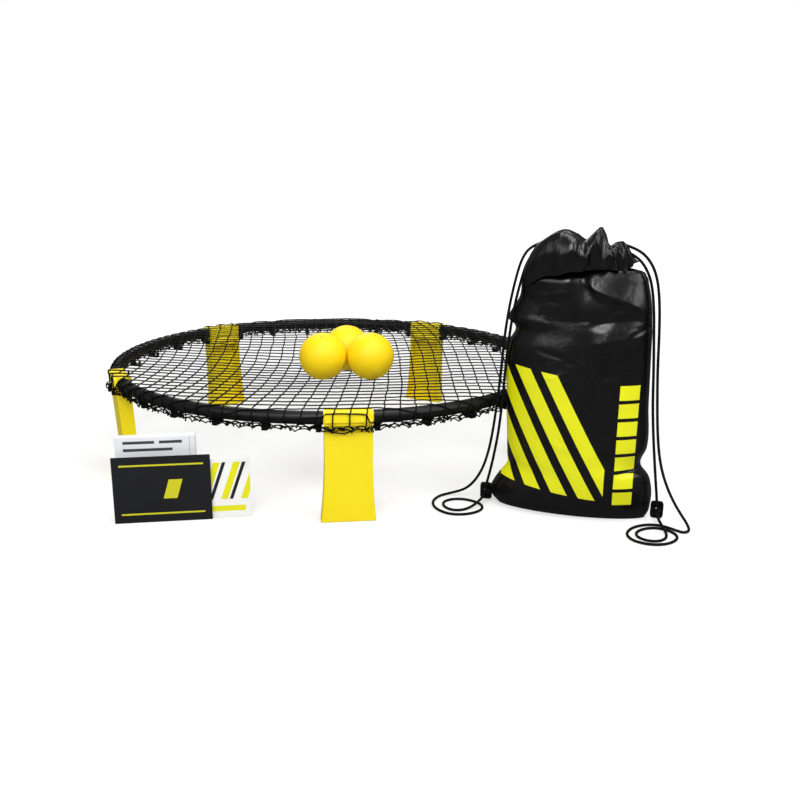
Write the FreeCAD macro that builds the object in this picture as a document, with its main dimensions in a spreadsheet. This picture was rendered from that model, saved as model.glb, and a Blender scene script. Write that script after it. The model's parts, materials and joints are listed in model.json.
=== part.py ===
import FreeCAD, Part
import math
import os
import Sketcher

# Roundnet set: a five-leg ring net, three balls, a drawstring sack and three paper pieces.
# Millimetres and degrees. +Z is up, the ground is z = 0, -Y is the front.

Vector = FreeCAD.Vector
Rotation = FreeCAD.Rotation
Placement = FreeCAD.Placement
upward = Vector(0, 0, 1)

legCount = 5
hooksPerTube = 6

sizes = {
    # ring of five tubes
    "rim_diameter": 914,
    "rim_height": 199,
    "rim_x": -42.5,
    "rim_y": 20.1,
    "tube_diameter": 23,
    "tube_bore": 14.4,
    "spigot_wall": 2,
    "socket_play": 0.1,
    "end_gap": 0.2,
    # leg collars
    "collar_width": 82,
    "collar_wrap": 0.7,
    "collar_stop": 3,
    "saddle_back": 4,
    "saddle_corner": 4,
    "skirt_gap": 2,
    "brow_inset": 0.5,
    "brow_height": 17.5,
    "brow_lift": 11.7,
    "brow_raise": 2.3,
    "brow_root": 5.4,
    "brow_corner": 4,
    "slot_width": 16,
    "slot_height": 2.5,
    "slot_depth": 3,
    # hinges
    "hinge_drop": 19.5,
    "hinge_back": 9.5,
    "knuckle_radius": 8.7,
    "tongue_gap": 3,
    "side_play": 0.5,
    "pin_diameter": 5,
    "pin_inset": 1,
    "pin_seat": 0.05,
    "pin_play": 0.1,
    # legs
    "leg_width": 82,
    "leg_flare": 8,
    "flare_start": 45,
    "lean_angle": 3.8,
    "panel_front": 21,
    "panel_drop": 2,
    "leg_wall": 3,
    "ear_radius": 6,
    "foot_back": 3,
    "shelf_gap": 0.3,
    "shelf_thickness": 3,
    "foot_thickness": 4,
    "leg_edge": 1.5,
    "trim_margin": 10,
    # net hooks
    "hook_margin": 2.5,
    "hook_width": 12,
    "clip_play": 0.05,
    "clip_wall": 2,
    "hook_reach": 17,
    "hook_heel": 4,
    "hook_depth": 13,
    "hook_lip": 10,
    "hook_wall": 2.6,
    # net
    "net_pitch": 50.8,
    "net_turn_angle": -10,
    "net_shift_x": 46.2,
    "net_shift_y": 21,
    "string_width": 2.2,
    "string_thickness": 1.6,
    "net_overlap": 6,
    "net_rest": 0.05,
    "least_gap_area": 260,
    # balls
    "ball_diameter": 89,
    "ball_wall": 2,
    "ball_space": 0.3,
    "ball_rest": 0.3,
    "ball_x": -32,
    "ball_y": -231,
    "ball_turn_angle": -4.5,
    "valve_diameter": 5,
    "valve_play": 0.1,
    # sack
    "bag_ring_angle": -47.1,
    "bag_reach": 123.2,
    "bag_turn_angle": -23,
    "tab_width": 22,
    "tab_height": 32,
    "tab_thickness": 1.6,
    "tab_forward": 8,
    "eyelet_hole": 7,
    "eyelet_barrel": 9,
    "eyelet_flange": 13,
    "eyelet_lip": 0.7,
    "eyelet_play": 0.05,
    "knot_diameter": 16,
    "cord_diameter": 4.8,
    # paper pieces
    "paper_ring_angle": -133.8,
    "paper_reach": 115.2,
    "paper_turn_angle": 1.7,
    "sticker_x": 124,
    "sticker_y": 4.3,
    "leaflet_x": 4,
    "leaflet_y": 21,
    "card_width": 163,
    "card_height": 118,
    "card_thickness": 1.2,
    "sticker_width": 105,
    "sticker_height": 107,
    "sticker_thickness": 0.6,
    "leaflet_width": 135,
    "leaflet_height": 150,
    "leaflet_thickness": 0.8,
    "leaflet_spread": 9,
}

doc = FreeCAD.newDocument("roundnet_set")
sheet = doc.addObject("Spreadsheet::Sheet", "Sizes")
for row, (name, value) in enumerate(sizes.items(), 1):
    sheet.set("A%d" % row, name)
    sheet.set("B%d" % row, str(value))
    sheet.setAlias("B%d" % row, name)
doc.recompute()

nodes = {}


# ---- sizes and formulas -------------------------------------------------------------

# A formula is a sum of sizes, each with an optional factor: "rim_diameter/2 - collar_stop".
# reading() gives its value now, and bound() the same formula for an expression.

def reading(formula):
    total = 0.0
    sign = 1
    for word in formula.split():
        if word in ("+", "-"):
            sign = 1 if word == "+" else -1
            continue
        name, slash, divisor = word.partition("/")
        name, star, factor = name.partition("*")
        term = float(name) if name[0].isdigit() else float(sheet.get(name))
        total += sign * term * float(factor or 1) / float(divisor or 1)
        sign = 1
    return total


def bound(formula):
    words = []
    for word in formula.split():
        plain = word in ("+", "-") or word[0].isdigit()
        words.append(word if plain else "Sizes." + word)
    return " ".join(words)


def angleOf(arcFormula):
    # the angle that a length along the ring's centre line takes
    return "(%s) / (%s) * 180 / pi" % (bound(arcFormula), bound(ringRadius))


ringRadius = "rim_diameter/2 - tube_diameter/2"
tubeAxis = "rim_height - tube_diameter/2"
spigotRadius = "tube_bore/2 + spigot_wall"
collarRadius = "tube_diameter/2 + collar_wrap"
netUnderside = tubeAxis + " + tube_diameter/2 + collar_wrap + net_rest"
hingeHeight = tubeAxis + " - hinge_drop"
minusHinge = "0 - rim_height + tube_diameter/2 + hinge_drop"
tongueFront = "panel_front - leg_wall - tongue_gap"
footHalf = "leg_width/2 + leg_flare"
minusFootHalf = "0 - leg_width/2 - leg_flare"
shelfTop = "0 - knuckle_radius - shelf_gap"
hookEnds = "collar_width + hook_width + hook_margin*2"
hingeRadius = ringRadius + " - hinge_back"
segmentAngle = 360.0 / legCount


# ---- building blocks ----------------------------------------------------------------

def newBody(name):
    body = doc.addObject("PartDesign::Body", name)
    body.Label = name
    nodes[name] = body
    return body


def originFeature(body, role):
    return next(feature for feature in body.Origin.OriginFeatures if feature.Role == role)


def newSketch(body, role, name, shift=None, turn=None):
    # shift: formulas for the sketch's own x, y and its distance along the plane's normal
    sketch = body.newObject("Sketcher::SketchObject", name)
    sketch.AttachmentSupport = [(originFeature(body, role), "")]
    sketch.MapMode = "FlatFace"
    for axis, formula in (shift or {}).items():
        sketch.setExpression("AttachmentOffset.Base." + axis, bound(formula))
    if turn:
        sketch.setExpression("AttachmentOffset.Rotation.Angle", bound(turn))
    return sketch


def fixPoint(sketch, edge, end, x, y):
    for kind, formula, axis in (("DistanceX", x, -2), ("DistanceY", y, -1)):
        if formula == "0":
            sketch.addConstraint(Sketcher.Constraint("PointOnObject", edge, end, axis))
            continue
        place = Sketcher.Constraint(kind, -1, 1, edge, end, reading(formula))
        number = sketch.addConstraint(place)
        sketch.setExpression("Constraints[%d]" % number, bound(formula))


def addOutline(sketch, corners):
    # Closed outline through corners (x, y). A corner (x, y, cx, cy, turn) is reached by an
    # arc about (cx, cy), counterclockwise for turn 1 and clockwise for turn -1.
    first = sketch.GeometryCount
    count = len(corners)
    ends = []
    for i in range(count):
        a = Vector(reading(corners[i - 1][0]), reading(corners[i - 1][1]), 0)
        b = Vector(reading(corners[i][0]), reading(corners[i][1]), 0)
        if len(corners[i]) == 2:
            sketch.addGeometry(Part.LineSegment(a, b), False)
            ends.append((1, 2))
            continue
        centre = Vector(reading(corners[i][2]), reading(corners[i][3]), 0)
        turn = corners[i][4]
        start, stop = (a, b) if turn > 0 else (b, a)
        angles = [math.atan2(p.y - centre.y, p.x - centre.x) for p in (start, stop)]
        if angles[1] <= angles[0]:
            angles[1] += 2 * math.pi
        circle = Part.Circle(centre, upward, (a - centre).Length)
        sketch.addGeometry(Part.ArcOfCircle(circle, *angles), False)
        ends.append((1, 2) if turn > 0 else (2, 1))
    for i in range(count):
        after = (i + 1) % count
        meet = (first + i, ends[i][1], first + after, ends[after][0])
        sketch.addConstraint(Sketcher.Constraint("Coincident", *meet))
        fixPoint(sketch, first + i, ends[i][1], corners[i][0], corners[i][1])
        if len(corners[i]) > 2:
            chord = [reading(corners[i][k]) - reading(corners[i - 1][k]) for k in (0, 1)]
            level = abs(chord[0]) >= abs(chord[1])
            kind = "DistanceY" if level else "DistanceX"
            formula = corners[i][3] if level else corners[i][2]
            if formula == "0":
                axis = -1 if level else -2
                sketch.addConstraint(Sketcher.Constraint("PointOnObject", first + i, 3, axis))
                continue
            place = Sketcher.Constraint(kind, -1, 1, first + i, 3, reading(formula))
            number = sketch.addConstraint(place)
            sketch.setExpression("Constraints[%d]" % number, bound(formula))


def addCircle(sketch, x, y, radius):
    centre = Vector(reading(x), reading(y), 0)
    edge = sketch.addGeometry(Part.Circle(centre, upward, reading(radius)), False)
    fixPoint(sketch, edge, 3, x, y)
    number = sketch.addConstraint(Sketcher.Constraint("Radius", edge, reading(radius)))
    sketch.setExpression("Constraints[%d]" % number, bound(radius))


def addFeature(body, kind, sketch, settings, expressions):
    # adds a feature and makes sure that it changed the body's volume
    before = body.Shape.Volume if not body.Shape.isNull() else 0.0
    feature = body.newObject("PartDesign::" + kind, kind + "Of" + sketch.Name)
    feature.Profile = sketch
    if kind in ("Revolution", "Groove"):
        feature.ReferenceAxis = (originFeature(body, "Z_Axis"), [""])
    for key, value in settings.items():
        setattr(feature, key, value)
    for key, expression in expressions.items():
        feature.setExpression(key, expression)
    body.Tip = feature
    doc.recompute()
    if abs(body.Shape.Volume - before) < 0.01:
        raise ValueError("%s changes nothing in %s" % (feature.Name, body.Label))
    return feature


def pad(body, sketch, length, **settings):
    return addFeature(body, "Pad", sketch, settings, {"Length": bound(length)})


def pocketThrough(body, sketch, **settings):
    return addFeature(body, "Pocket", sketch, dict(settings, Type=1), {})


def revolve(body, sketch, angle, kind="Revolution"):
    return addFeature(body, kind, sketch, {"Midplane": True}, {"Angle": angle})


def filletEdges(body, name, radius, wanted):
    base = body.Tip
    edges = [
        "Edge%d" % number
        for number, edge in enumerate(base.Shape.Edges, 1)
        if wanted(edge)
    ]
    if not edges:
        raise ValueError("no edge to round in " + body.Label)
    fillet = body.newObject("PartDesign::Fillet", name)
    fillet.Base = (base, edges)
    fillet.setExpression("Radius", bound(radius))
    body.Tip = fillet
    doc.recompute()
    return fillet


def rimPlacement(degrees):
    centre = Vector(sheet.get("rim_x"), sheet.get("rim_y"), 0)
    return Placement(centre, Rotation(upward, degrees))


def legAngle(index):
    # leg 1 stands at the front
    return segmentAngle * index - 90


def plainPart(name, shape):
    feature = doc.addObject("Part::Feature", name)
    feature.Label = name
    feature.Shape = shape
    nodes[name] = feature
    return feature


# ---- ring ---------------------------------------------------------------------------

def makeTube(index):
    # a fifth of the ring: full tube between two collars, necked down to a spigot at each end
    body = newBody("rim_tube_%d" % (index + 1))
    spigots = newSketch(body, "XZ_Plane", "Spigots")
    addCircle(spigots, ringRadius, tubeAxis, spigotRadius)
    addCircle(spigots, ringRadius, tubeAxis, "tube_bore/2")
    revolve(body, spigots, "%g - %s" % (segmentAngle, angleOf("collar_stop + end_gap*2")))
    full = newSketch(body, "XZ_Plane", "FullTube")
    addCircle(full, ringRadius, tubeAxis, "tube_diameter/2")
    addCircle(full, ringRadius, tubeAxis, "tube_bore/2")
    revolve(body, full, "%g - %s" % (segmentAngle, angleOf("collar_width + end_gap*2")))
    body.Placement = rimPlacement(legAngle(index) + segmentAngle / 2)


def makeCollar(index):
    # the saddle that joins two tubes: sockets, a raised brow outside and the hinge tongue below
    body = newBody("leg_collar_%d" % (index + 1))
    inner = ringRadius + " - tube_diameter/2 - collar_wrap - saddle_back"
    outer = ringRadius + " + " + collarRadius
    underside = hingeHeight + " + ear_radius + skirt_gap"

    saddle = newSketch(body, "XZ_Plane", "Saddle")
    top = tubeAxis + " + " + collarRadius
    addOutline(saddle, [
        (inner, underside),
        (outer, underside),
        (outer, top),
        (inner + " + saddle_corner", top),
        (inner, top + " - saddle_corner", inner + " + saddle_corner", top + " - saddle_corner", 1),
    ])
    revolve(body, saddle, angleOf("collar_width"))

    brow = newSketch(body, "YZ_Plane", "Brow", {"z": outer + " + brow_raise"})
    addRoundedBox(brow, "collar_width/2", "brow_inset", tubeAxis + " + brow_lift - brow_height",
                  tubeAxis + " + brow_lift", "brow_corner")
    pad(body, brow, "collar_wrap + brow_raise + brow_root", Reversed=True)

    tongue = newSketch(body, "XZ_Plane", "Tongue", {"x": hingeRadius, "y": hingeHeight},
                       "0 - lean_angle")
    rise = "ear_radius + skirt_gap + knuckle_radius/2"
    addOutline(tongue, [
        ("0", "0 - knuckle_radius", "0", "0", 1),
        (tongueFront, "0 - knuckle_radius"),
        (tongueFront, rise),
        ("hinge_back - tube_diameter/2 - collar_wrap + knuckle_radius/9", rise),
        ("0 - knuckle_radius", "0"),
    ])
    pad(body, tongue, "leg_width - leg_wall*2 - side_play*2", Midplane=True)

    socket = newSketch(body, "XZ_Plane", "Socket")
    addCircle(socket, ringRadius, tubeAxis, spigotRadius + " + socket_play")
    revolve(body, socket, angleOf("collar_width*2"), "Groove")
    stop = newSketch(body, "XZ_Plane", "SocketStop")
    addCircle(stop, ringRadius, tubeAxis, spigotRadius + " + socket_play*2")
    revolve(body, stop, angleOf("collar_stop"))

    bore = newSketch(body, "XZ_Plane", "PinBore")
    addCircle(bore, hingeRadius, hingeHeight, "pin_diameter/2 + pin_seat")
    pocketThrough(body, bore, Midplane=True)

    slot = newSketch(body, "YZ_Plane", "Slot",
                     {"z": hingeRadius + " + " + tongueFront + " - slot_depth", "y": hingeHeight})
    addBox(slot, "slot_width/2", "0", "ear_radius/2", "ear_radius/2 + slot_height")
    pocketThrough(body, slot, Reversed=True)

    filletEdges(body, "BrowEdge", "leg_edge/2", lambda edge: onBrowFace(edge))
    body.Placement = rimPlacement(legAngle(index))


def onBrowFace(edge):
    face = reading(ringRadius + " + " + collarRadius + " + brow_raise")
    return all(abs(vertex.X - face) < 0.01 for vertex in edge.Vertexes)


# These boxes reach from -side to side, less the inset at each end.

def addBox(sketch, side, inset, low, high):
    right = side + " - " + inset
    left = "0 - " + side + " + " + inset
    addOutline(sketch, [(left, low), (right, low), (right, high), (left, high)])


def addRoundedBox(sketch, side, inset, low, high, corner):
    halfWidth = side + " - " + inset
    near = halfWidth + " - " + corner
    left = "0 - " + side + " + " + inset
    leftNear = left + " + " + corner
    lowNear = low + " + " + corner
    highNear = high + " - " + corner
    addOutline(sketch, [
        (leftNear, low, leftNear, lowNear, 1),
        (near, low),
        (halfWidth, lowNear, near, lowNear, 1),
        (halfWidth, highNear),
        (near, high, near, highNear, 1),
        (leftNear, high),
        (left, highNear, leftNear, highNear, 1),
        (left, lowNear),
    ])


# ---- legs ---------------------------------------------------------------------------

def makeLeg(index):
    # a U-channel open to the inside, drawn about its hinge axis: x outward, z up the leg
    body = newBody("leg_%d" % (index + 1))
    side = newSketch(body, "XZ_Plane", "SideProfile")
    below = minusHinge + " - trim_margin"
    addOutline(side, [
        ("0 - foot_back", below),
        ("panel_front", below),
        ("panel_front", "0 - panel_drop"),
        ("ear_radius", "0"),
        ("0 - ear_radius", "0", "0", "0", 1),
    ])
    pad(body, side, "leg_width + leg_flare*2", Midplane=True)

    flare = newSketch(body, "YZ_Plane", "Flare")
    addFlareTrim(flare, 1)
    addFlareTrim(flare, -1)
    pocketThrough(body, flare, Midplane=True)

    ground = newSketch(body, "XZ_Plane", "Ground", None, "lean_angle")
    addOutline(ground, [
        ("0 - panel_front*3", minusHinge + " - leg_width"),
        ("panel_front*3", minusHinge + " - leg_width"),
        ("panel_front*3", minusHinge),
        ("0 - panel_front*3", minusHinge),
    ])
    pocketThrough(body, ground, Midplane=True)

    hollow = newSketch(body, "YZ_Plane", "Channel", {"z": "panel_front - leg_wall"})
    addBox(hollow, "leg_width/2", "leg_wall", shelfTop, "panel_front")
    addChannel(hollow)
    pocketThrough(body, hollow)

    bore = newSketch(body, "XZ_Plane", "PinBore")
    addCircle(bore, "0", "0", "pin_diameter/2 + pin_play")
    pocketThrough(body, bore, Midplane=True)

    filletEdges(body, "PanelEdge", "leg_edge", onPanelFace)
    hinge = Vector(reading(hingeRadius), 0, reading(hingeHeight))
    lean = Rotation(Vector(0, 1, 0), sheet.get("lean_angle"))
    body.Placement = rimPlacement(legAngle(index)) * Placement(hinge, lean)


def onPanelFace(edge):
    face = sheet.get("panel_front")
    onFace = all(abs(vertex.X - face) < 0.01 for vertex in edge.Vertexes)
    return onFace and len(edge.Vertexes) == 2


def addFlareTrim(sketch, side):
    # what lies outside the leg's front outline: straight at the top, then an arc out to the foot
    sign = "" if side > 0 else "0 - "
    far = sign + "leg_width"
    narrow = sign + "leg_width/2"
    wide = footHalf if side > 0 else minusFootHalf
    top = "panel_front*2"
    foot = minusHinge + " - trim_margin"
    first = sketch.GeometryCount
    points = [(narrow, top), (far, top), (far, foot), (wide, foot), (narrow, "0 - flare_start")]
    spots = [Vector(reading(x), reading(y), 0) for x, y in points]
    for a, b in ((0, 1), (1, 2), (2, 3)):
        sketch.addGeometry(Part.LineSegment(spots[a], spots[b]), False)
    run = spots[4].y - spots[3].y
    swing = abs(spots[3].x - spots[4].x)
    radius = (run * run + swing * swing) / (2 * swing)
    centre = Vector(spots[4].x + side * radius, spots[4].y, 0)
    lowAngle = math.atan2(spots[3].y - centre.y, spots[3].x - centre.x) % (2 * math.pi)
    circle = Part.Circle(centre, upward, radius)
    angles = (math.pi, lowAngle) if side > 0 else (lowAngle, 2 * math.pi)
    sketch.addGeometry(Part.ArcOfCircle(circle, *angles), False)
    sketch.addGeometry(Part.LineSegment(spots[4], spots[0]), False)
    arc = first + 3
    line = first + 4
    low, high = (2, 1) if side > 0 else (1, 2)
    joins = ((first, 2, first + 1, 1), (first + 1, 2, first + 2, 1), (first + 2, 2, arc, low),
             (line, 2, first, 1))
    for join in joins:
        sketch.addConstraint(Sketcher.Constraint("Coincident", *join))
    sketch.addConstraint(Sketcher.Constraint("Tangent", arc, high, line, 1))
    for edge, end, spot in ((first, 1, 0), (first, 2, 1), (first + 1, 2, 2), (first + 2, 2, 3),
                            (line, 1, 4)):
        fixPoint(sketch, edge, end, *points[spot])


def addChannel(sketch):
    # the hollow below the stop shelf: upright sides, then straight out to the foot's wall
    top = shelfTop + " - shelf_thickness"
    low = minusHinge + " + foot_thickness"
    addOutline(sketch, [
        (minusFootHalf + " + leg_wall", low),
        (footHalf + " - leg_wall", low),
        ("leg_width/2 - leg_wall", "0 - flare_start"),
        ("leg_width/2 - leg_wall", top),
        ("0 - leg_width/2 + leg_wall", top),
        ("0 - leg_width/2 + leg_wall", "0 - flare_start"),
    ])


def makePin(index):
    pin = doc.addObject("Part::Cylinder", "hinge_pin_%d" % (index + 1))
    pin.Label = pin.Name
    pin.setExpression("Radius", bound("pin_diameter/2"))
    pin.setExpression("Height", bound("leg_width - pin_inset*2"))
    nodes[pin.Name] = pin
    half = reading("leg_width/2 - pin_inset")
    start = Vector(reading(hingeRadius), half, reading(hingeHeight))
    across = Placement(start, Rotation(Vector(1, 0, 0), 90))
    pin.Placement = rimPlacement(legAngle(index)) * across


# ---- net and its hooks --------------------------------------------------------------

def makeHooks(index):
    # six clips under one tube, each with a finger that reaches inward and turns up
    body = newBody("net_hooks_%d" % (index + 1))
    body.AllowCompound = True
    near = "tube_diameter/2 + clip_play"
    far = near + " + clip_wall"
    clip = newSketch(body, "XZ_Plane", "Clip", {"x": ringRadius, "y": tubeAxis})
    minusNear = "0 - tube_diameter/2 - clip_play"
    minusFar = minusNear + " - clip_wall"
    addOutline(clip, [
        (minusFar, "0"),
        (far, "0", "0", "0", 1),
        (near, "0"),
        (minusNear, "0", "0", "0", -1),
    ])
    revolve(body, clip, angleOf("hook_width"))
    finger = newSketch(body, "XZ_Plane", "Finger", {"x": ringRadius, "y": tubeAxis})
    floorLevel = "0 - tube_diameter/2 - hook_depth"
    shelfLevel = floorLevel + " + hook_wall"
    addOutline(finger, [
        ("hook_heel", floorLevel),
        ("hook_heel", "0 - tube_diameter/2 - clip_wall/2"),
        ("0 - hook_heel", "0 - tube_diameter/2 - clip_wall/4"),
        ("0 - hook_heel*2", shelfLevel),
        ("0 - hook_reach + hook_wall", shelfLevel),
        ("0 - hook_reach + hook_wall", shelfLevel + " + hook_lip - hook_wall"),
        ("0 - hook_reach", shelfLevel + " + hook_lip - hook_wall"),
        ("0 - hook_reach", floorLevel),
    ])
    revolve(body, finger, angleOf("hook_width*0.75"))
    pattern = body.newObject("PartDesign::PolarPattern", "HookRow")
    pattern.Originals = [feature for feature in body.Group if "Revolution" in feature.Name]
    pattern.Axis = (originFeature(body, "Z_Axis"), [""])
    pattern.Occurrences = hooksPerTube
    pattern.setExpression("Angle", "%g - %s" % (segmentAngle, angleOf(hookEnds)))
    body.Tip = pattern
    first = math.degrees(reading(hookEnds) / reading(ringRadius)) / 2
    body.Placement = rimPlacement(legAngle(index) + first)


def makeNet():
    # one holed face: square gaps, cut round where they meet the edge cord over the tube
    pitch = sheet.get("net_pitch")
    gap = pitch - sheet.get("string_width")
    outer = reading(ringRadius + " + net_overlap")
    inner = outer - reading("net_overlap*2 + tube_diameter/2")
    disc = Part.Face(Part.Wire(Part.makeCircle(inner)))
    reach = int(inner / pitch) + 1
    margin = (pitch - gap) / 2
    first = Vector(sheet.get("net_shift_x") + margin, sheet.get("net_shift_y") + margin, 0)
    wires = [Part.Wire(Part.makeCircle(outer))]
    for column in range(-reach - 1, reach):
        for line in range(-reach - 1, reach):
            square = Part.makePlane(gap, gap, first + Vector(column, line, 0) * pitch)
            for face in square.common(disc).Faces:
                if face.Area > sheet.get("least_gap_area"):
                    wires.append(face.OuterWire)
    face = Part.makeFace(wires, "Part::FaceMakerBullseye")
    net = plainPart("net", face.extrude(Vector(0, 0, sheet.get("string_thickness"))))
    level = Placement(Vector(0, 0, reading(netUnderside)), Rotation())
    net.Placement = rimPlacement(sheet.get("net_turn_angle")) * level
    print("net gaps", len(wires) - 1)


# ---- balls --------------------------------------------------------------------------

def ballCentres():
    # a touching triangle on the net, the third ball behind the other two
    apart = reading("ball_diameter + ball_space")
    height = reading(netUnderside + " + string_thickness + ball_rest + ball_diameter/2")
    first = Vector(sheet.get("ball_x"), sheet.get("ball_y"), height)
    centres = [first]
    for degrees in (0, 60):
        turn = Rotation(upward, sheet.get("ball_turn_angle") + degrees)
        centres.append(first + turn.multVec(Vector(apart, 0, 0)))
    return centres


def makeBall(index, centre, valveTilt, valveTurn):
    number = index + 1
    tilt = Rotation(upward, valveTurn) * Rotation(Vector(1, 0, 0), valveTilt)
    place = rimPlacement(0) * Placement(centre, Rotation())
    skin = doc.addObject("Part::Sphere", "BallSkin%d" % number)
    skin.setExpression("Radius", bound("ball_diameter/2"))
    air = doc.addObject("Part::Sphere", "BallAir%d" % number)
    air.setExpression("Radius", bound("ball_diameter/2 - ball_wall"))
    hole = doc.addObject("Part::Cylinder", "ValveHole%d" % number)
    hole.setExpression("Radius", bound("valve_diameter/2 + valve_play"))
    hole.setExpression("Height", bound("ball_diameter"))
    hole.Placement = Placement(Vector(), tilt)
    inside = doc.addObject("Part::Fuse", "BallInside%d" % number)
    inside.Base = air
    inside.Tool = hole
    ball = doc.addObject("Part::Cut", "ball_%d" % number)
    ball.Base = skin
    ball.Tool = inside
    ball.Label = ball.Name
    ball.Placement = place
    nodes[ball.Name] = ball
    valve = doc.addObject("Part::Cylinder", "ball_valve_%d" % number)
    valve.Label = valve.Name
    valve.setExpression("Radius", bound("valve_diameter/2"))
    valve.setExpression("Height", bound("ball_wall*2"))
    seat = Vector(0, 0, reading("ball_diameter/2 - ball_wall*2 - valve_play"))
    valve.Placement = place * Placement(Vector(), tilt) * Placement(seat, Rotation())
    nodes[valve.Name] = valve


# ---- drawstring sack ----------------------------------------------------------------

# Its own frame: x along its width, y away from the front, z up.

def besideRing(direction, reach, turn):
    # a place on the ground outside the ring, turned about the vertical
    outward = Rotation(upward, sheet.get(direction))
    spot = outward.multVec(Vector(reading("rim_diameter/2 + " + reach), 0, 0))
    return rimPlacement(0) * Placement(spot, Rotation(upward, sheet.get(turn)))


def bagPlacement():
    return besideRing("bag_ring_angle", "bag_reach", "bag_turn_angle")


# height, left seam, right seam and half thickness of the filled sack
bagSections = (
    (0, -129, 138, 40),
    (30, -139, 149, 50),
    (75, -122, 141, 57),
    (130, -114, 130, 58),
    (205, -119, 123, 54),
    (260, -117, 127, 48),
    (340, -113, 122, 41),
    (425, -95, 109, 32),
    (444, -88, 92, 30),
    (470, -80, 80, 26),
    (490, -62, 62, 15),
)


def makeBag():
    rings = []
    for height, left, right, depth in bagSections:
        middle = (left + right) / 2
        a = Vector(left, 0, height)
        b = Vector(right, 0, height)
        front = Part.Arc(a, Vector(middle, -depth, height), b).toShape()
        back = Part.Arc(b, Vector(middle, depth, height), a).toShape()
        rings.append(Part.Wire([front, back]))
    bag = plainPart("bag_body", Part.makeLoft(rings, True, False))
    bag.Placement = bagPlacement()


# side of the sack, and where the tab's inner edge and lower edge lie
bagTabs = {"left": (-1, 136, 5), "right": (1, 143, 3)}


def tabMiddle(side):
    sign, edge, low = bagTabs[side]
    along = edge + reading("tab_width/2")
    return Vector(sign * along, -sheet.get("tab_forward"), low + reading("tab_height/2"))


def makeTab(side):
    # the reinforced corner tab that holds an eyelet
    body = newBody("bag_tab_" + side)
    outline = newSketch(body, "XZ_Plane", "TabOutline")
    addRoundedBox(outline, "tab_width/2", "0", "0 - tab_height/2", "tab_height/2", "tab_width/6")
    addCircle(outline, "0", "0", "eyelet_barrel/2 + eyelet_play")
    pad(body, outline, "tab_thickness", Midplane=True)
    body.Placement = bagPlacement() * Placement(tabMiddle(side), Rotation())


def makeEyelet(side):
    # a spool: barrel through the tab, and a flange on each face
    body = newBody("bag_eyelet_" + side)
    spool = newSketch(body, "XZ_Plane", "Spool")
    half = "tab_thickness/2 + eyelet_play"
    outside = half + " + eyelet_lip"
    addOutline(spool, [
        ("eyelet_hole/2", "0 - tab_thickness/2 - eyelet_play - eyelet_lip"),
        ("eyelet_flange/2", "0 - tab_thickness/2 - eyelet_play - eyelet_lip"),
        ("eyelet_flange/2", "0 - tab_thickness/2 - eyelet_play"),
        ("eyelet_barrel/2", "0 - tab_thickness/2 - eyelet_play"),
        ("eyelet_barrel/2", half),
        ("eyelet_flange/2", half),
        ("eyelet_flange/2", outside),
        ("eyelet_hole/2", outside),
    ])
    revolve(body, spool, "360")
    across = Placement(tabMiddle(side), Rotation(Vector(1, 0, 0), 90))
    body.Placement = bagPlacement() * across


def knotMiddle(side):
    forward = reading("tab_thickness/2 + eyelet_play + eyelet_lip + knot_diameter/2")
    return tabMiddle(side) - Vector(0, forward, 0)


def makeKnot(side):
    knot = doc.addObject("Part::Sphere", "cord_knot_" + side)
    knot.Label = knot.Name
    knot.setExpression("Radius", bound("knot_diameter/2"))
    knot.Placement = bagPlacement() * Placement(knotMiddle(side), Rotation())
    nodes[knot.Name] = knot


# ---- cords --------------------------------------------------------------------------

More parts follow.
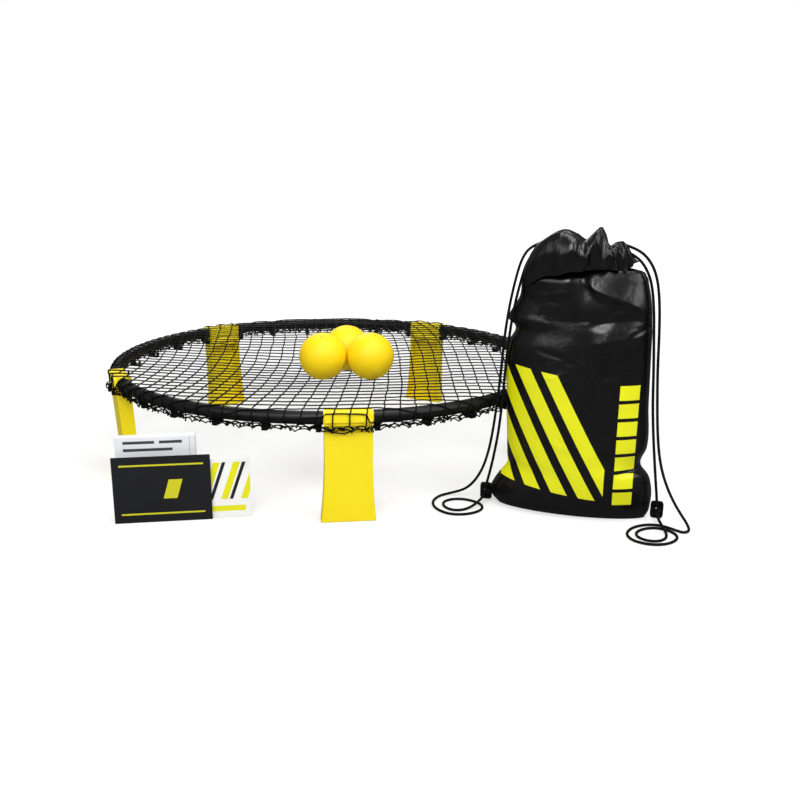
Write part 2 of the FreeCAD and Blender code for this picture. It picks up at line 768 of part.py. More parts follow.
# Routes in the sack's frame, from the hem's end down to the knot at the corner tab.
cordRoutes = {
    "cord_right_tight": (
        (66, -3, 463), (84, -6, 456), (101, -9, 441), (114, -11, 415), (121, -12, 375),
        (125, -13, 324), (129, -13, 268), (132, -12, 212), (137, -12, 158), (143, -12, 110),
        (148, -13, 72), (152, -15, 44), (154, -17, 26),
    ),
    "cord_right_slack": (
        (66, -3, 472), (86, -8, 467), (106, -13, 453), (121, -17, 428), (129, -19, 388),
        (133, -20, 332), (135, -20, 274), (139, -21, 216), (144, -21, 160), (151, -21, 114),
        (162, -21, 78), (176, -25, 49), (191, -32, 27), (204, -41, 12), (209, -52, 4),
        (199, -61, 2.5), (184, -51, 2.5), (166, -40, 2.5), (146, -39, 2.5), (126, -50, 2.5),
        (111, -70, 2.5), (106, -95, 2.5), (116, -116, 2.5), (138, -126, 2.5), (163, -122, 2.5),
        (182, -105, 2.5), (190, -83, 2.5), (183, -64, 2.5), (166, -53, 2.5), (148, -53, 2.5),
        (131, -65, 2.5), (121, -83, 2.5), (125, -102, 2.5), (142, -112, 2.5), (160, -108, 2.5),
        (171, -92, 2.5), (171, -73, 4), (164, -58, 9), (158, -44, 13.5), (155, -30, 17),
        (154, -20, 18.5),
    ),
    "cord_left_tight": (
        (-66, -3, 463), (-82, -6, 454), (-93, -9, 434), (-101, -11, 402), (-110, -12, 358),
        (-116, -13, 306), (-120, -13, 250), (-123, -13, 194), (-127, -13, 142), (-133, -13, 100),
        (-139, -14, 66), (-144, -15, 44), (-147, -17, 28),
    ),
    "cord_left_slack": (
        (-66, -3, 472), (-85, -9, 466), (-99, -15, 446), (-108, -19, 410), (-117, -20, 360),
        (-123, -20, 306), (-126, -21, 250), (-131, -20, 194), (-136, -20, 144), (-143, -20, 100),
        (-153, -19, 66), (-167, -14, 40), (-184, -5, 20), (-203, 5, 8), (-221, 3, 2.5),
        (-234, -14, 2.5), (-239, -38, 2.5), (-234, -62, 2.5), (-219, -82, 2.5), (-197, -94, 2.5),
        (-173, -90, 2.5), (-153, -74, 2.5), (-144, -52, 2.5), (-151, -32, 2.5), (-169, -20, 2.5),
        (-190, -16, 2.5), (-210, -24, 2.5), (-220, -42, 2.5), (-214, -62, 2.5), (-197, -75, 2.5),
        (-178, -70, 2.5), (-165, -57, 5), (-156, -44, 10), (-150, -31, 15), (-148, -21, 18.5),
    ),
}


def cordPath(points):
    # straight runs joined by tangent arcs, each as large as its two runs allow
    pieces = []
    radii = []
    start = points[0]
    for before, corner, after in zip(points, points[1:], points[2:]):
        incoming = corner - before
        outgoing = after - corner
        turn = incoming.getAngle(outgoing)
        setback = 0.45 * min(incoming.Length, outgoing.Length)
        radii.append(setback / math.tan(turn / 2))
        enter = corner - incoming.normalize() * setback
        leave = corner + outgoing.normalize() * setback
        inward = (outgoing - incoming).normalize()
        depth = radii[-1] / math.cos(turn / 2) - radii[-1]
        pieces.append(Part.LineSegment(start, enter).toShape())
        pieces.append(Part.Arc(enter, corner + inward * depth, leave).toShape())
        start = leave
    pieces.append(Part.LineSegment(start, points[-1]).toShape())
    return Part.Wire(pieces), radii


def makeCord(name, route):
    points = [Vector(*point) for point in route]
    path, radii = cordPath(points)
    radius = sheet.get("cord_diameter") / 2
    section = Part.Wire(Part.makeCircle(radius, points[0], points[1] - points[0]))
    tube = path.makePipeShell([section], True, False)
    cord = plainPart(name, tube)
    cord.Placement = bagPlacement()
    expected = math.pi * radius * radius * path.Length
    if abs(tube.Volume / expected - 1) > 0.01:
        raise ValueError(name + " isn't a whole tube")
    print(name, "length %.0f" % path.Length, "radii", " ".join("%.0f" % r for r in radii))


# ---- paper pieces -------------------------------------------------------------------

def placePaper(piece, x, y):
    # x and y: where its left corner stands, from the title card's
    group = besideRing("paper_ring_angle", "paper_reach", "paper_turn_angle")
    piece.Placement = group * Placement(Vector(reading(x), reading(y), 0), Rotation())


def makeSheetPiece(name, size, x, y):
    piece = doc.addObject("Part::Box", name)
    piece.Label = name
    piece.setExpression("Length", bound(size + "_width"))
    piece.setExpression("Width", bound(size + "_thickness"))
    piece.setExpression("Height", bound(size + "_height"))
    nodes[name] = piece
    placePaper(piece, x, y)


def makeLeaflet():
    # folded once along its left edge and opened a little, so that it stands
    body = newBody("instruction_leaflet")
    plan = newSketch(body, "XY_Plane", "FoldedPlan")
    addOutline(plan, [
        ("0", "0"),
        ("leaflet_width", "0"),
        ("leaflet_width", "leaflet_thickness"),
        ("leaflet_thickness*2", "leaflet_thickness"),
        ("leaflet_width", "leaflet_spread"),
        ("leaflet_width", "leaflet_spread + leaflet_thickness"),
        ("0", "leaflet_thickness*2"),
    ])
    pad(body, plan, "leaflet_height")
    placePaper(body, "leaflet_x", "leaflet_y")


# ---- the set ------------------------------------------------------------------------

for index in range(legCount):
    makeTube(index)
    makeCollar(index)
    makeLeg(index)
    makePin(index)
    makeHooks(index)
makeNet()
for index, (centre, tilt, turn) in enumerate(zip(ballCentres(), (24, 20, 16), (-10, 30, 0))):
    makeBall(index, centre, tilt, turn)
makeBag()
for side in bagTabs:
    makeTab(side)
    makeEyelet(side)
    makeKnot(side)
for name, route in cordRoutes.items():
    makeCord(name, route)
makeSheetPiece("title_card", "card", "0", "0")
makeSheetPiece("sticker", "sticker", "sticker_x", "sticker_y")
makeLeaflet()
doc.recompute()

faults = [item.Name for item in doc.Objects if {"Invalid", "Error"} & set(item.State)]
if faults:
    raise ValueError("not recomputed: " + ", ".join(faults))
for name, node in nodes.items():
    if node.Shape.isNull() or not node.Shape.isValid():
        raise ValueError(name + " isn't a valid solid")

os.makedirs("parts", exist_ok=True)
for name, node in nodes.items():
    node.Shape.exportStep("parts/%s.step" % name)
print(len(nodes), "nodes")
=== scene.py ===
import json
import math
import bpy
import numpy as np
from mathutils import Matrix, Vector


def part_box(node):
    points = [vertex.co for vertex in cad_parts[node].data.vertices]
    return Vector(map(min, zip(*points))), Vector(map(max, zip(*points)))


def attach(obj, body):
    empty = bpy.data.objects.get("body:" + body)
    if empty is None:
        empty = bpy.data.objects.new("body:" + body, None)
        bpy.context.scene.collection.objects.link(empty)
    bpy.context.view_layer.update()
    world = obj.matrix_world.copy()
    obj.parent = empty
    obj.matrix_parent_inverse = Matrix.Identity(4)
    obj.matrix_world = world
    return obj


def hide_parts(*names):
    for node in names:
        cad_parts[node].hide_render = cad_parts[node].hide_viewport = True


# Roundnet set on a white studio floor: ring net, three balls, drawstring sack and paper pieces.
# Metres, +Z up. Sizes written in millimetres are multiplied by mm where they are used.

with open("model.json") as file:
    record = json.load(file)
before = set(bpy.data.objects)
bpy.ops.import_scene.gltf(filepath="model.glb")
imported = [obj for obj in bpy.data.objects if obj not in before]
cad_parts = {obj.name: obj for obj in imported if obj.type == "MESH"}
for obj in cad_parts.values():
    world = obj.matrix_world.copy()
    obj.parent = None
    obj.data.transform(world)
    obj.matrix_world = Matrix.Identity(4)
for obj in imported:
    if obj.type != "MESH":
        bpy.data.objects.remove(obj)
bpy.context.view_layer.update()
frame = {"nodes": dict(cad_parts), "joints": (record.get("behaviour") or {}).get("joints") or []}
mm = 0.001

# places that several pieces share

hinges = [joint["pos_m"] for joint in frame["joints"] if joint["name"].startswith("leg_")]
ring = {
    "centre": np.append(np.mean(hinges, 0)[:2], 0.0),
    "radius": 445.5 * mm,  # centre line of the tube
    "axisHeight": 187.5 * mm,
    "legs": 5,
    "collarHalf": 41 * mm,  # half the length of a collar along the ring
}

sack = {
    "ringAngle": math.radians(-47.1),  # where it stands round the ring, and how far out
    "reach": 580.2 * mm,
    "turn": math.radians(-23),
}
sackOrigin = ring["centre"] + sack["reach"] * np.array(
    [math.cos(sack["ringAngle"]), math.sin(sack["ringAngle"]), 0])


def turned(angle):
    # a turn about the upright axis as a matrix: rows (cos, -sin, 0), (sin, cos, 0), (0, 0, 1)
    return np.array([[math.cos(angle), -math.sin(angle), 0],
                     [math.sin(angle), math.cos(angle), 0], [0, 0, 1]])


sackTurn = turned(sack["turn"])


def fromSack(points):
    # the sack's own millimetres to metres: turned, then moved to where it stands
    return np.asarray(points, float) * mm @ sackTurn.T + sackOrigin


def middleOf(name):
    # the middle of a node's box
    low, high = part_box(name)
    return (np.array(low) + np.array(high)) / 2


# camera

view = {
    "place": (-0.1405, -1.8426, 0.5991),
    "pitch": 0.2624, "yaw": 0.1297, "roll": 0.0091,  # radians
    "lens": 39.8, "sensor": 36,
}


def makeCamera():
    # forward from yaw and pitch, then the level right and the up turned by the roll
    yaw, pitch, roll = view["yaw"], view["pitch"], view["roll"]
    forward = Vector((math.sin(yaw) * math.cos(pitch), math.cos(yaw) * math.cos(pitch),
                      -math.sin(pitch)))
    level = Vector((math.cos(yaw), -math.sin(yaw), 0))
    upright = level.cross(forward)
    right = level * math.cos(roll) + upright * math.sin(roll)
    data = bpy.data.cameras.new("viewCamera")
    data.sensor_width = view["sensor"]
    data.lens = view["lens"]
    camera = bpy.data.objects.new("viewCamera", data)
    bpy.context.scene.collection.objects.link(camera)
    axes = Matrix((right, right.cross(forward), -forward)).transposed().to_4x4()
    camera.matrix_world = Matrix.Translation(Vector(view["place"])) @ axes
    bpy.context.scene.camera = camera


makeCamera()
print("camera placed")

# materials: small helpers


def hexColour(code):
    # sRGB hex to linear light
    values = [int(code[i:i + 2], 16) / 255 for i in (0, 2, 4)]
    return tuple(v / 12.92 if v <= 0.04045 else ((v + 0.055) / 1.055) ** 2.4
                 for v in values) + (1.0,)


def setNode(tree, node, values):
    # Values go to the node's own options or to its sockets. A node or an output among them is
    # linked, and "stops" are the two places and colours of a ramp.
    for key, value in values.items():
        if isinstance(value, bpy.types.Node):
            value = value.outputs[0]
        if isinstance(value, bpy.types.NodeSocket):
            tree.links.new(value, node.inputs[key])
        elif key == "stops":
            for stop, (place, code) in zip(node.color_ramp.elements, value):
                stop.position, stop.color = place, hexColour(code)
        elif isinstance(key, str) and hasattr(node, key):
            setattr(node, key, value)
        else:
            node.inputs[key].default_value = value
    return node


def addNode(tree, kind, values=None):
    # a new node with its settings and links
    return setNode(tree, tree.nodes.new("ShaderNode" + kind), values or {})


def startMaterial(name, values=None):
    # a principled surface and its tree
    material = bpy.data.materials.new(name)
    material.use_nodes = True
    tree = material.node_tree
    tree.nodes.clear()
    surface = addNode(tree, "BsdfPrincipled", values)
    addNode(tree, "OutputMaterial", {"Surface": surface})
    return material, tree, surface


def surfaceUv(tree):
    # the piece's own UV map: across and along it in metres, or the turn round a cord
    uv = addNode(tree, "UVMap", {"uv_map": "surfaceUv"})
    return uv, addNode(tree, "SeparateXYZ", {"Vector": uv}).outputs


def addGrain(tree, surface, where, look):
    # colour, roughness and height that vary with noise of the given scale
    broad = addNode(tree, "TexNoise", {
        "Scale": look["broadScale"], "Detail": 3.0, "Roughness": 0.55, "Vector": where})
    colour = addNode(tree, "ValToRGB", {
        "stops": ((0.3, look["dark"]), (0.7, look["light"])), "Fac": broad})
    fine = addNode(tree, "TexNoise", {"Scale": look["fineScale"], "Detail": 2.0, "Vector": where})
    rough = addNode(tree, "MapRange", {
        "To Min": look["rough"][0], "To Max": look["rough"][1], "Value": fine})
    bump = addNode(tree, "Bump", {
        "Strength": look["bump"], "Distance": look["raised"], "Height": fine})
    setNode(tree, surface, {"Base Color": colour, "Roughness": rough, "Normal": bump})
    return colour


def grainMaterial(name, look, values):
    # a principled surface with grain on Object coordinates
    material, tree, surface = startMaterial(name, values)
    addGrain(tree, surface, addNode(tree, "TexCoord").outputs["Object"], look)
    return material


def allOf(tree, tests):
    # 1 where every test is 1: their product
    passed = tests[0]
    for test in tests[1:]:
        passed = addNode(tree, "Math", {"operation": "MULTIPLY", 0: passed, 1: test})
    return passed


# meshes: small helpers


def gridFaces(rows, columns, around, loops=False):
    # quads between neighbouring grid points, and each corner's row and column; the corners of the
    # closing quads go on counting past the seam
    i, j = np.meshgrid(np.arange(rows if loops else rows - 1),
                       np.arange(columns if around else columns - 1), indexing="ij")
    i, j = i.ravel(), j.ravel()
    row = np.stack([i, i, i + 1, i + 1], 1)
    column = np.stack([j, j + 1, j + 1, j], 1)
    return row % rows * columns + column % columns, row, column


def closedFaces(rows, columns):
    # a tube's quads, and fans that close its ends on two points that follow the grid's own
    quads, _, _ = gridFaces(rows, columns, True)
    first, last = rows * columns, (rows - 1) * columns
    fans = [[first, (k + 1) % columns, k] for k in range(columns)]
    fans += [[first + 1, last + k, last + (k + 1) % columns] for k in range(columns)]
    return quads.tolist() + fans


def gridPoints(x, y, z):
    # three coordinates on a grid as one list of points
    return np.stack([x, y, z], -1).reshape(-1, 3)


def roundGrid(along, columns):
    # two parameters on a grid: the given values along it and the angle round it
    return np.meshgrid(along, np.arange(columns) * 2 * math.pi / columns, indexing="ij")


def newPiece(name, points, faces, material, body, uv=None, replaced=()):
    # faces: lists of corner numbers; uv: one pair for each corner, in the order of the faces
    mesh = bpy.data.meshes.new(name)
    mesh.from_pydata(np.asarray(points, float).tolist(), [],
                     [list(map(int, face)) for face in faces])
    if uv is not None:
        layer = mesh.uv_layers.new(name="surfaceUv")
        layer.data.foreach_set("uv", np.asarray(uv, np.float32).ravel())
    mesh.polygons.foreach_set("use_smooth", np.ones(len(mesh.polygons), bool))
    mesh.materials.append(material)
    mesh.update()
    piece = bpy.data.objects.new(name, mesh)
    bpy.context.scene.collection.objects.link(piece)
    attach(piece, body)
    if replaced:
        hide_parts(*replaced)
    return piece


def addWall(piece, thickness):
    # the sheet made as thick as the given millimetres, evenly to both sides
    wall = piece.modifiers.new("wall", "SOLIDIFY")
    wall.thickness = thickness * mm
    wall.offset = 0


def unit(vectors):
    return vectors / np.linalg.norm(vectors, axis=-1, keepdims=True)


def sweepRound(path, guide, radius, sides, loops=False):
    # a circle carried along the path: centre + radius * (cos a * side + sin a * up), where side is
    # the guide made square to the path; uv is the turn round it and the length along it in metres
    step = np.roll(path, -1, 0) - np.roll(path, 1, 0) if loops else np.gradient(path, axis=0)
    tangent = unit(step)
    side = unit(guide - (guide * tangent).sum(1, keepdims=True) * tangent)
    up = np.cross(tangent, side)
    angle = np.arange(sides) * 2 * math.pi / sides
    wide = np.broadcast_to(np.asarray(radius, float), len(path))[:, None, None]
    points = path[:, None] + wide * (np.cos(angle)[None, :, None] * side[:, None]
                                     + np.sin(angle)[None, :, None] * up[:, None])
    faces, row, column = gridFaces(len(path), sides, True, loops)
    spacing = np.linalg.norm(np.diff(path, axis=0, append=path[:1]), axis=1)
    along = np.concatenate([[0], np.cumsum(spacing)])
    uv = np.stack([column / sides, along[row]], 2).reshape(-1, 2)
    faces = faces.tolist()
    if not loops:
        last = (len(path) - 1) * sides
        faces += [list(range(sides))[::-1], list(range(last, last + sides))]
        uv = np.concatenate([uv, np.zeros((sides, 2)), np.tile([0, along[-2]], (sides, 1))])
    return points.reshape(-1, 3), faces, uv


def joinParts(parts):
    # several (points, faces, uv) as one
    offset = 0
    points, faces, uv = [], [], []
    for partPoints, partFaces, partUv in parts:
        points.append(partPoints)
        faces += [[corner + offset for corner in face] for face in partFaces]
        uv.append(partUv)
        offset += len(partPoints)
    return np.concatenate(points), faces, np.concatenate(uv)


def carriedGuide(path):
    # a side direction that turns only as much as the path does, from ring to ring
    tangent = unit(np.gradient(path, axis=0))
    guide = unit(np.cross(tangent[0], (0.31, 0.52, 0.79)))
    guides = [guide]
    for direction in tangent[1:]:
        guide = unit(guide - guide.dot(direction) * direction)
        guides.append(guide)
    return np.array(guides)


def smoothTable(at, knots, values):
    # a smooth curve through table values, with its slope at each knot taken from the neighbours
    knots, values = np.asarray(knots, float), np.asarray(values, float)
    slopes = np.gradient(values, knots)
    at = np.clip(at, knots[0], knots[-1])
    k = np.clip(np.searchsorted(knots, at) - 1, 0, len(knots) - 2)
    width = knots[k + 1] - knots[k]
    t = (at - knots[k]) / width
    return ((2 * t ** 3 - 3 * t ** 2 + 1) * values[k]
            + (t ** 3 - 2 * t ** 2 + t) * width * slopes[k]
            + (3 * t ** 2 - 2 * t ** 3) * values[k + 1]
            + (t ** 3 - t ** 2) * width * slopes[k + 1])


def ease(value, low, high):
    # 0 below low, 1 above high, smooth between
    t = np.clip((value - low) / (high - low), 0, 1)
    return t * t * (3 - 2 * t)


# cords of the sack

# Control points in the sack's own millimetres: from the hem down to the knot at the corner tab.
cordRoutes = {
    "cord_right_tight": [
        (66, -3, 463), (84, -6, 456), (101, -9, 441), (114, -11, 415), (121, -12, 375),
        (125, -13, 324), (129, -13, 268), (132, -12, 212), (137, -12, 158), (143, -12, 110),
        (148, -13, 72), (152, -15, 44), (154, -17, 26)],
    "cord_right_slack": [
        (66, -3, 472), (86, -8, 467), (106, -13, 453), (121, -17, 428), (129, -19, 388),
        (133, -20, 332), (135, -20, 274), (139, -21, 216), (144, -21, 160), (151, -21, 114),
        (162, -21, 78), (176, -25, 49), (191, -32, 27), (204, -41, 12), (209, -52, 4),
        (199, -61, 2.5), (184, -51, 2.5), (166, -40, 2.5), (146, -39, 2.5), (126, -50, 2.5),
        (111, -70, 2.5), (106, -95, 2.5), (116, -116, 2.5), (138, -126, 2.5), (163, -122, 2.5),
        (182, -105, 2.5), (190, -83, 2.5), (183, -64, 2.5), (166, -53, 2.5), (148, -53, 2.5),
        (131, -65, 2.5), (121, -83, 2.5), (125, -102, 2.5), (142, -112, 2.5), (160, -108, 2.5),
        (171, -92, 2.5), (171, -73, 4), (164, -58, 9), (158, -44, 13.5), (155, -30, 17),
        (154, -20, 18.5)],
    "cord_left_tight": [
        (-66, -3, 463), (-82, -6, 454), (-93, -9, 434), (-101, -11, 402), (-110, -12, 358),
        (-116, -13, 306), (-120, -13, 250), (-123, -13, 194), (-127, -13, 142), (-133, -13, 100),
        (-139, -14, 66), (-144, -15, 44), (-147, -17, 28)],
    "cord_left_slack": [
        (-66, -3, 472), (-85, -9, 466), (-99, -15, 446), (-108, -19, 410), (-117, -20, 360),
        (-123, -20, 306), (-126, -21, 250), (-131, -20, 194), (-136, -20, 144), (-143, -20, 100),
        (-153, -19, 66), (-167, -14, 40), (-184, -5, 20), (-203, 5, 8), (-221, 3, 2.5),
        (-234, -14, 2.5), (-239, -38, 2.5), (-234, -62, 2.5), (-219, -82, 2.5), (-197, -94, 2.5),
        (-173, -90, 2.5), (-153, -74, 2.5), (-144, -52, 2.5), (-151, -32, 2.5), (-169, -20, 2.5),
        (-190, -16, 2.5), (-210, -24, 2.5), (-220, -42, 2.5), (-214, -62, 2.5), (-197, -75, 2.5),
        (-178, -70, 2.5), (-165, -57, 5), (-156, -44, 10), (-150, -31, 15), (-148, -21, 18.5)],
}

cord = {
    "diameter": 4.8 * mm,
    "lengths": {"cord_right_tight": 0.462, "cord_right_slack": 1.031,
                "cord_left_tight": 0.452, "cord_left_slack": 0.943},
    "sides": 14,
    "starts": 3, "ways": ("ADD", "SUBTRACT"),  # yarns round the cord, crossing
    "plait": 5.2 * mm,  # length of one repeat of the braid
    "bump": 0.6, "raised": 0.4 * mm,
    # dark is painted shade in the grooves between the yarns, light is painted light on their
    # crowns
    "dark": "020202", "light": "0C0C0D",
}


def twistMaterial(name, look, values):
    # Braid or twine from its own UV map: the highest of sin(starts * turn +- climb), one wave for
    # each way that the yarns run.
    material, tree, surface = startMaterial(name, values)
    _, across = surfaceUv(tree)
    turns = addNode(tree, "Math", {
        "operation": "MULTIPLY", 0: across["X"], 1: look["starts"] * 2 * math.pi})
    climb = addNode(tree, "Math", {
        "operation": "MULTIPLY", 0: across["Y"], 1: 2 * math.pi / look["plait"]})
    waves = []
    for way in look["ways"]:
        phase = addNode(tree, "Math", {"operation": way, 0: turns, 1: climb})
        waves.append(addNode(tree, "Math", {"operation": "SINE", 0: phase}))
    yarn = addNode(tree, "Math", {"operation": "MAXIMUM", 0: waves[0], 1: waves[-1]})
    # painted light and shade: the colour follows the yarn's height like the bump, lighter on the
    # yarn crowns and darker in the grooves between them
    tint = addNode(tree, "ValToRGB", {
        "stops": ((0, look["dark"]), (1, look["light"])), "Fac": yarn})
    bump = addNode(tree, "Bump", {
        "Strength": look["bump"], "Distance": look["raised"], "Height": yarn})
    setNode(tree, surface, {"Base Color": tint, "Normal": bump})
    return material


# braided polyester: a crossed pattern of flat yarns round the cord, with painted light on the yarn
# crowns and painted shade in the grooves between them, dull with a soft edge sheen
cordMaterial = twistMaterial("braidedPolyesterCord", cord, {
    "Roughness": 0.72, "Specular IOR Level": 0.15})


def routeLine(name, route):
    # the route's NURBS spline as points, in metres
    curve = bpy.data.curves.new(name + "_line", "CURVE")
    curve.dimensions = "3D"
    curve.resolution_u = 10
    spline = curve.splines.new("NURBS")
    points = fromSack(route)
    spline.points.add(len(points) - 1)
    spline.points.foreach_set("co", np.column_stack([points, np.ones(len(points))]).ravel())
    spline.order_u = 3
    spline.use_endpoint_u = True
    holder = bpy.data.objects.new(name + "_line", curve)
    bpy.context.scene.collection.objects.link(holder)
    mesh = bpy.data.meshes.new_from_object(holder)
    line = np.zeros(len(mesh.vertices) * 3)
    mesh.vertices.foreach_get("co", line)
    bpy.data.objects.remove(holder)
    bpy.data.meshes.remove(mesh)
    return line.reshape(-1, 3)


knot = {
    "size": 15.5 * mm, "strand": 2.3 * mm,
    "squeeze": 1.4,  # how deep the knot is against its width
    "rings": 120, "sides": 10,
}


def makeKnot(side):
    # a tied stopper knot: a strand along (sin t + 2 sin 2t, -squeeze sin 3t, cos t - 2 cos 2t)
    middle = middleOf("cord_knot_" + side)
    t = np.arange(knot["rings"]) * 2 * math.pi / knot["rings"]
    shape = np.stack([np.sin(t) + 2 * np.sin(2 * t), -knot["squeeze"] * np.sin(3 * t),
                      np.cos(t) - 2 * np.cos(2 * t)], 1)
    path = shape / 6 * (knot["size"] - 2 * knot["strand"]) @ sackTurn.T + middle
    guide = unit(path - middle + (0.001, 0.0013, 0.0007))  # outwards, never quite nothing
    points, faces, uv = sweepRound(path, guide, knot["strand"], knot["sides"], loops=True)
    return newPiece("tied_knot_" + side, points, faces, cordMaterial, "bag", uv,
                    ["cord_knot_" + side])


knots = {side: makeKnot(side) for side in ("left", "right")}

for name, route in cordRoutes.items():
    line = routeLine(name, route)
    points, faces, uv = sweepRound(line, carriedGuide(line), cord["diameter"] / 2, cord["sides"])
    piece = newPiece("braided_" + name, points, faces, cordMaterial, "bag", uv, [name])
print("cords laid")

# ring: tubes, collars, legs, pins, hooks

moulded = {
    # satin polypropylene tube: nearly black, even gloss
    "rim_tube": {"material": "satinPolypropyleneTube", "values": {"Specular IOR Level": 0.3},
                 "dark": "050505", "light": "0B0B0B", "rough": (0.34, 0.46),
                 "broadScale": 9.0, "fineScale": 900.0, "bump": 0.06, "raised": 0.1 * mm},
    # injection-moulded ABS: even yellow, fine spark-eroded grain that softens the gloss
    "leg_": {"material": "mouldedAbsYellow", "values": {"Specular IOR Level": 0.35},
             "dark": "F0D80A", "light": "F7E210", "rough": (0.38, 0.5),
             "broadScale": 5.0, "fineScale": 1400.0, "bump": 0.05, "raised": 0.06 * mm},
    # glass-filled nylon hooks: dull black
    "net_hooks": {"material": "glassFilledNylonHook", "values": {"Specular IOR Level": 0.2},
                  "dark": "060606", "light": "0E0E0E", "rough": (0.5, 0.65),
                  "broadScale": 60.0, "fineScale": 1600.0, "bump": 0.1, "raised": 0.06 * mm},
    # zinc-plated steel pin: grey, bright
    "hinge_pin": {"material": "zincPlatedSteel", "values": {"Metallic": 1.0},
                  "dark": "A9A9A6", "light": "C9C9C6", "rough": (0.22, 0.4),
                  "broadScale": 200.0, "fineScale": 3000.0, "bump": 0.05, "raised": 0.02 * mm},
    # enamelled brass eyelet: black, glossy
    "bag_eyelet": {"material": "enamelledBrassEyelet", "values": {},
                   "dark": "101011", "light": "1C1C1E", "rough": (0.2, 0.32),
                   "broadScale": 200.0, "fineScale": 2500.0, "bump": 0.04, "raised": 0.02 * mm},
    # moulded rubber valve: the ball's yellow, a little deeper and duller
    "ball_valve": {"material": "valveRubber", "values": {},
                   "dark": "E0B806", "light": "EBC60A", "rough": (0.45, 0.6),
                   "broadScale": 300.0, "fineScale": 2500.0, "bump": 0.05, "raised": 0.03 * mm},
}

for start, look in moulded.items():
    # a carried-over solid gets its finish through its object's slots
    finish = grainMaterial(look["material"], look, look["values"])
    for name in frame["nodes"]:
        if name.startswith(start):
            for materialSlot in frame["nodes"][name].material_slots:
                materialSlot.material = finish
print("ring finished")

# net

net = {
    "pitch": (25.2 * mm, 25.7 * mm),
    "shift": (0.59, 0.55),  # where the two families stand, in squares from the middle
    "counted": 560 * mm,  # squares are counted out to here, and strings kept to the margin
    "margin": 60 * mm,
    "string": 1.3 * mm,  # radius
    "sides": 5,
    "perCell": 5,  # rings along one side of a square
    "slack": (0.05, 0.4 * mm),  # a string's wave in a square: sideways in squares, and upwards
    "apart": 0.3 * mm,  # one family's height above the middle, the other's below
    "level": 200.75 * mm,  # height of the string's centre
    # how the two families bend: shares of (q, q2, uq, uq2, uq3, u2q2, u3q) and
    # (w, w2, w3, vw, v2) in tenths of a metre, where u, v, w, q are places over the span
    "span": 0.4,
    "bendAcross": (0.32, -0.24, 0.08, 0.08, -0.36, -0.27, 0.17),
    "bendAlong": (-0.08, 0.1, -0.37, 0.16, 0.09),
    "drift": (4, 1.6 * mm, 0.06),  # seed, size and wavelength of the slow drift
    "dip": 4 * mm,  # sag under the balls' weight
    "draw": 35 * mm,  # how far the rows are drawn to the front there
    "dipAt": (-0.027, -0.069),
    "dipSize": (0.227, 0.187),
    "over": 12.7 * mm,  # radius of the string round the tube
    "brow": (16.4 * mm, 13.7 * mm, 0.25),  # its reach and rise over a collar, and how square
    "leave": math.radians(112),  # where the net leaves the tube on its way down outside
    "tail": (37 * mm, 43 * mm),  # how far a string goes on past the tube's centre line
    "tuck": 0.3,  # how far a tail hangs inwards, against its length
    "swing": ((61, 1.3, 0.036), (97, 4.1, 0.024)),  # waves round the ring: count, start, share
    "curl": (83, 190, 0.7),  # along the ring: count, turns along the tail, share
    "fall": (0.75, 0.2, 71, 2.0),  # how much of a tail hangs down, and its wave
    "seed": 11,
    "knot": 2.2 * mm, "knotSizes": (0.8, 1.15), "knotFlat": 0.8,
    "starts": 2, "ways": ("ADD",),  # two plies, one way
    "plait": 3.5 * mm, "bump": 0.5, "raised": 0.2 * mm,
    # dark is painted shade in the groove between the plies, light is painted light on their crowns
    "dark": "020202", "light": "0B0B0B",
}
netDraws = np.random.default_rng(net["seed"])
cells = int(net["counted"] / net["pitch"][0])


def dipShape(x, y):
    # 1 in the middle of the dip, falling off as a bell
    return np.exp(-((x - net["dipAt"][0]) / net["dipSize"][0]) ** 2
                  - ((y - net["dipAt"][1]) / net["dipSize"][1]) ** 2)


def wobble(points, seed, size, wave):
    # a slow sideways drift of the whole mesh: sums of long sine waves
    draws = np.random.default_rng(seed)
    shift = np.zeros_like(points)
    waves = 6
    for _ in range(waves):
        direction = draws.normal(size=2) / wave
        phase = draws.uniform(0, 2 * math.pi, 2)
        shift += (size / waves ** 0.5 * np.sin(points @ direction + phase[0])[:, None]
                  * draws.normal(size=2))
    return points + shift


def layFlat(across, along):
    # From squares counted along the two families to the ring's plane. Each family is bent by a
    # cubic in the other's place, and the rows dip at the balls; a few rounds settle the two.
    x0, y0 = across * net["pitch"][0], along * net["pitch"][1]
    u, v = x0 / net["span"], y0 / net["span"]
    a, b = net["bendAcross"], net["bendAlong"]
    x, y = x0, y0
    for _ in range(5):
        q = y / net["span"]
        x = x0 + 0.1 * (a[0] * q + a[1] * q ** 2 + u * (a[2] * q + a[3] * q ** 2 + a[4] * q ** 3)
                        + a[5] * u ** 2 * q ** 2 + a[6] * u ** 3 * q)
        w = x / net["span"]
        y = y0 + 0.1 * (b[0] * w + b[1] * w ** 2 + b[2] * w ** 3 + b[3] * v * w + b[4] * v ** 2)
        y -= net["draw"] * dipShape(x, y0)
    return wobble(np.stack([x, y], 1), *net["drift"])


def toCollar(angle):
    # distance along the ring from the nearest collar's middle
    sector = 2 * math.pi / ring["legs"]
    fromLeg = (angle + math.pi / 2 + sector / 2) % sector - sector / 2
    return np.abs(fromLeg) * ring["radius"]


def overCollar(angle, margin):
    # 1 on a collar and 0 beyond it, with a soft step at its ends
    half = ring["collarHalf"]
    return 1 - ease(toCollar(angle), half - margin, half + margin)


def signedPower(value, power):
    # |value|^power with the value's own sign
    return np.sign(value) * np.abs(value) ** power


def roundRing(radial, angle, height):
    # from distance, angle and height to points about the ring's middle
    return np.stack([radial * np.cos(angle), radial * np.sin(angle), height], 1) + ring["centre"]


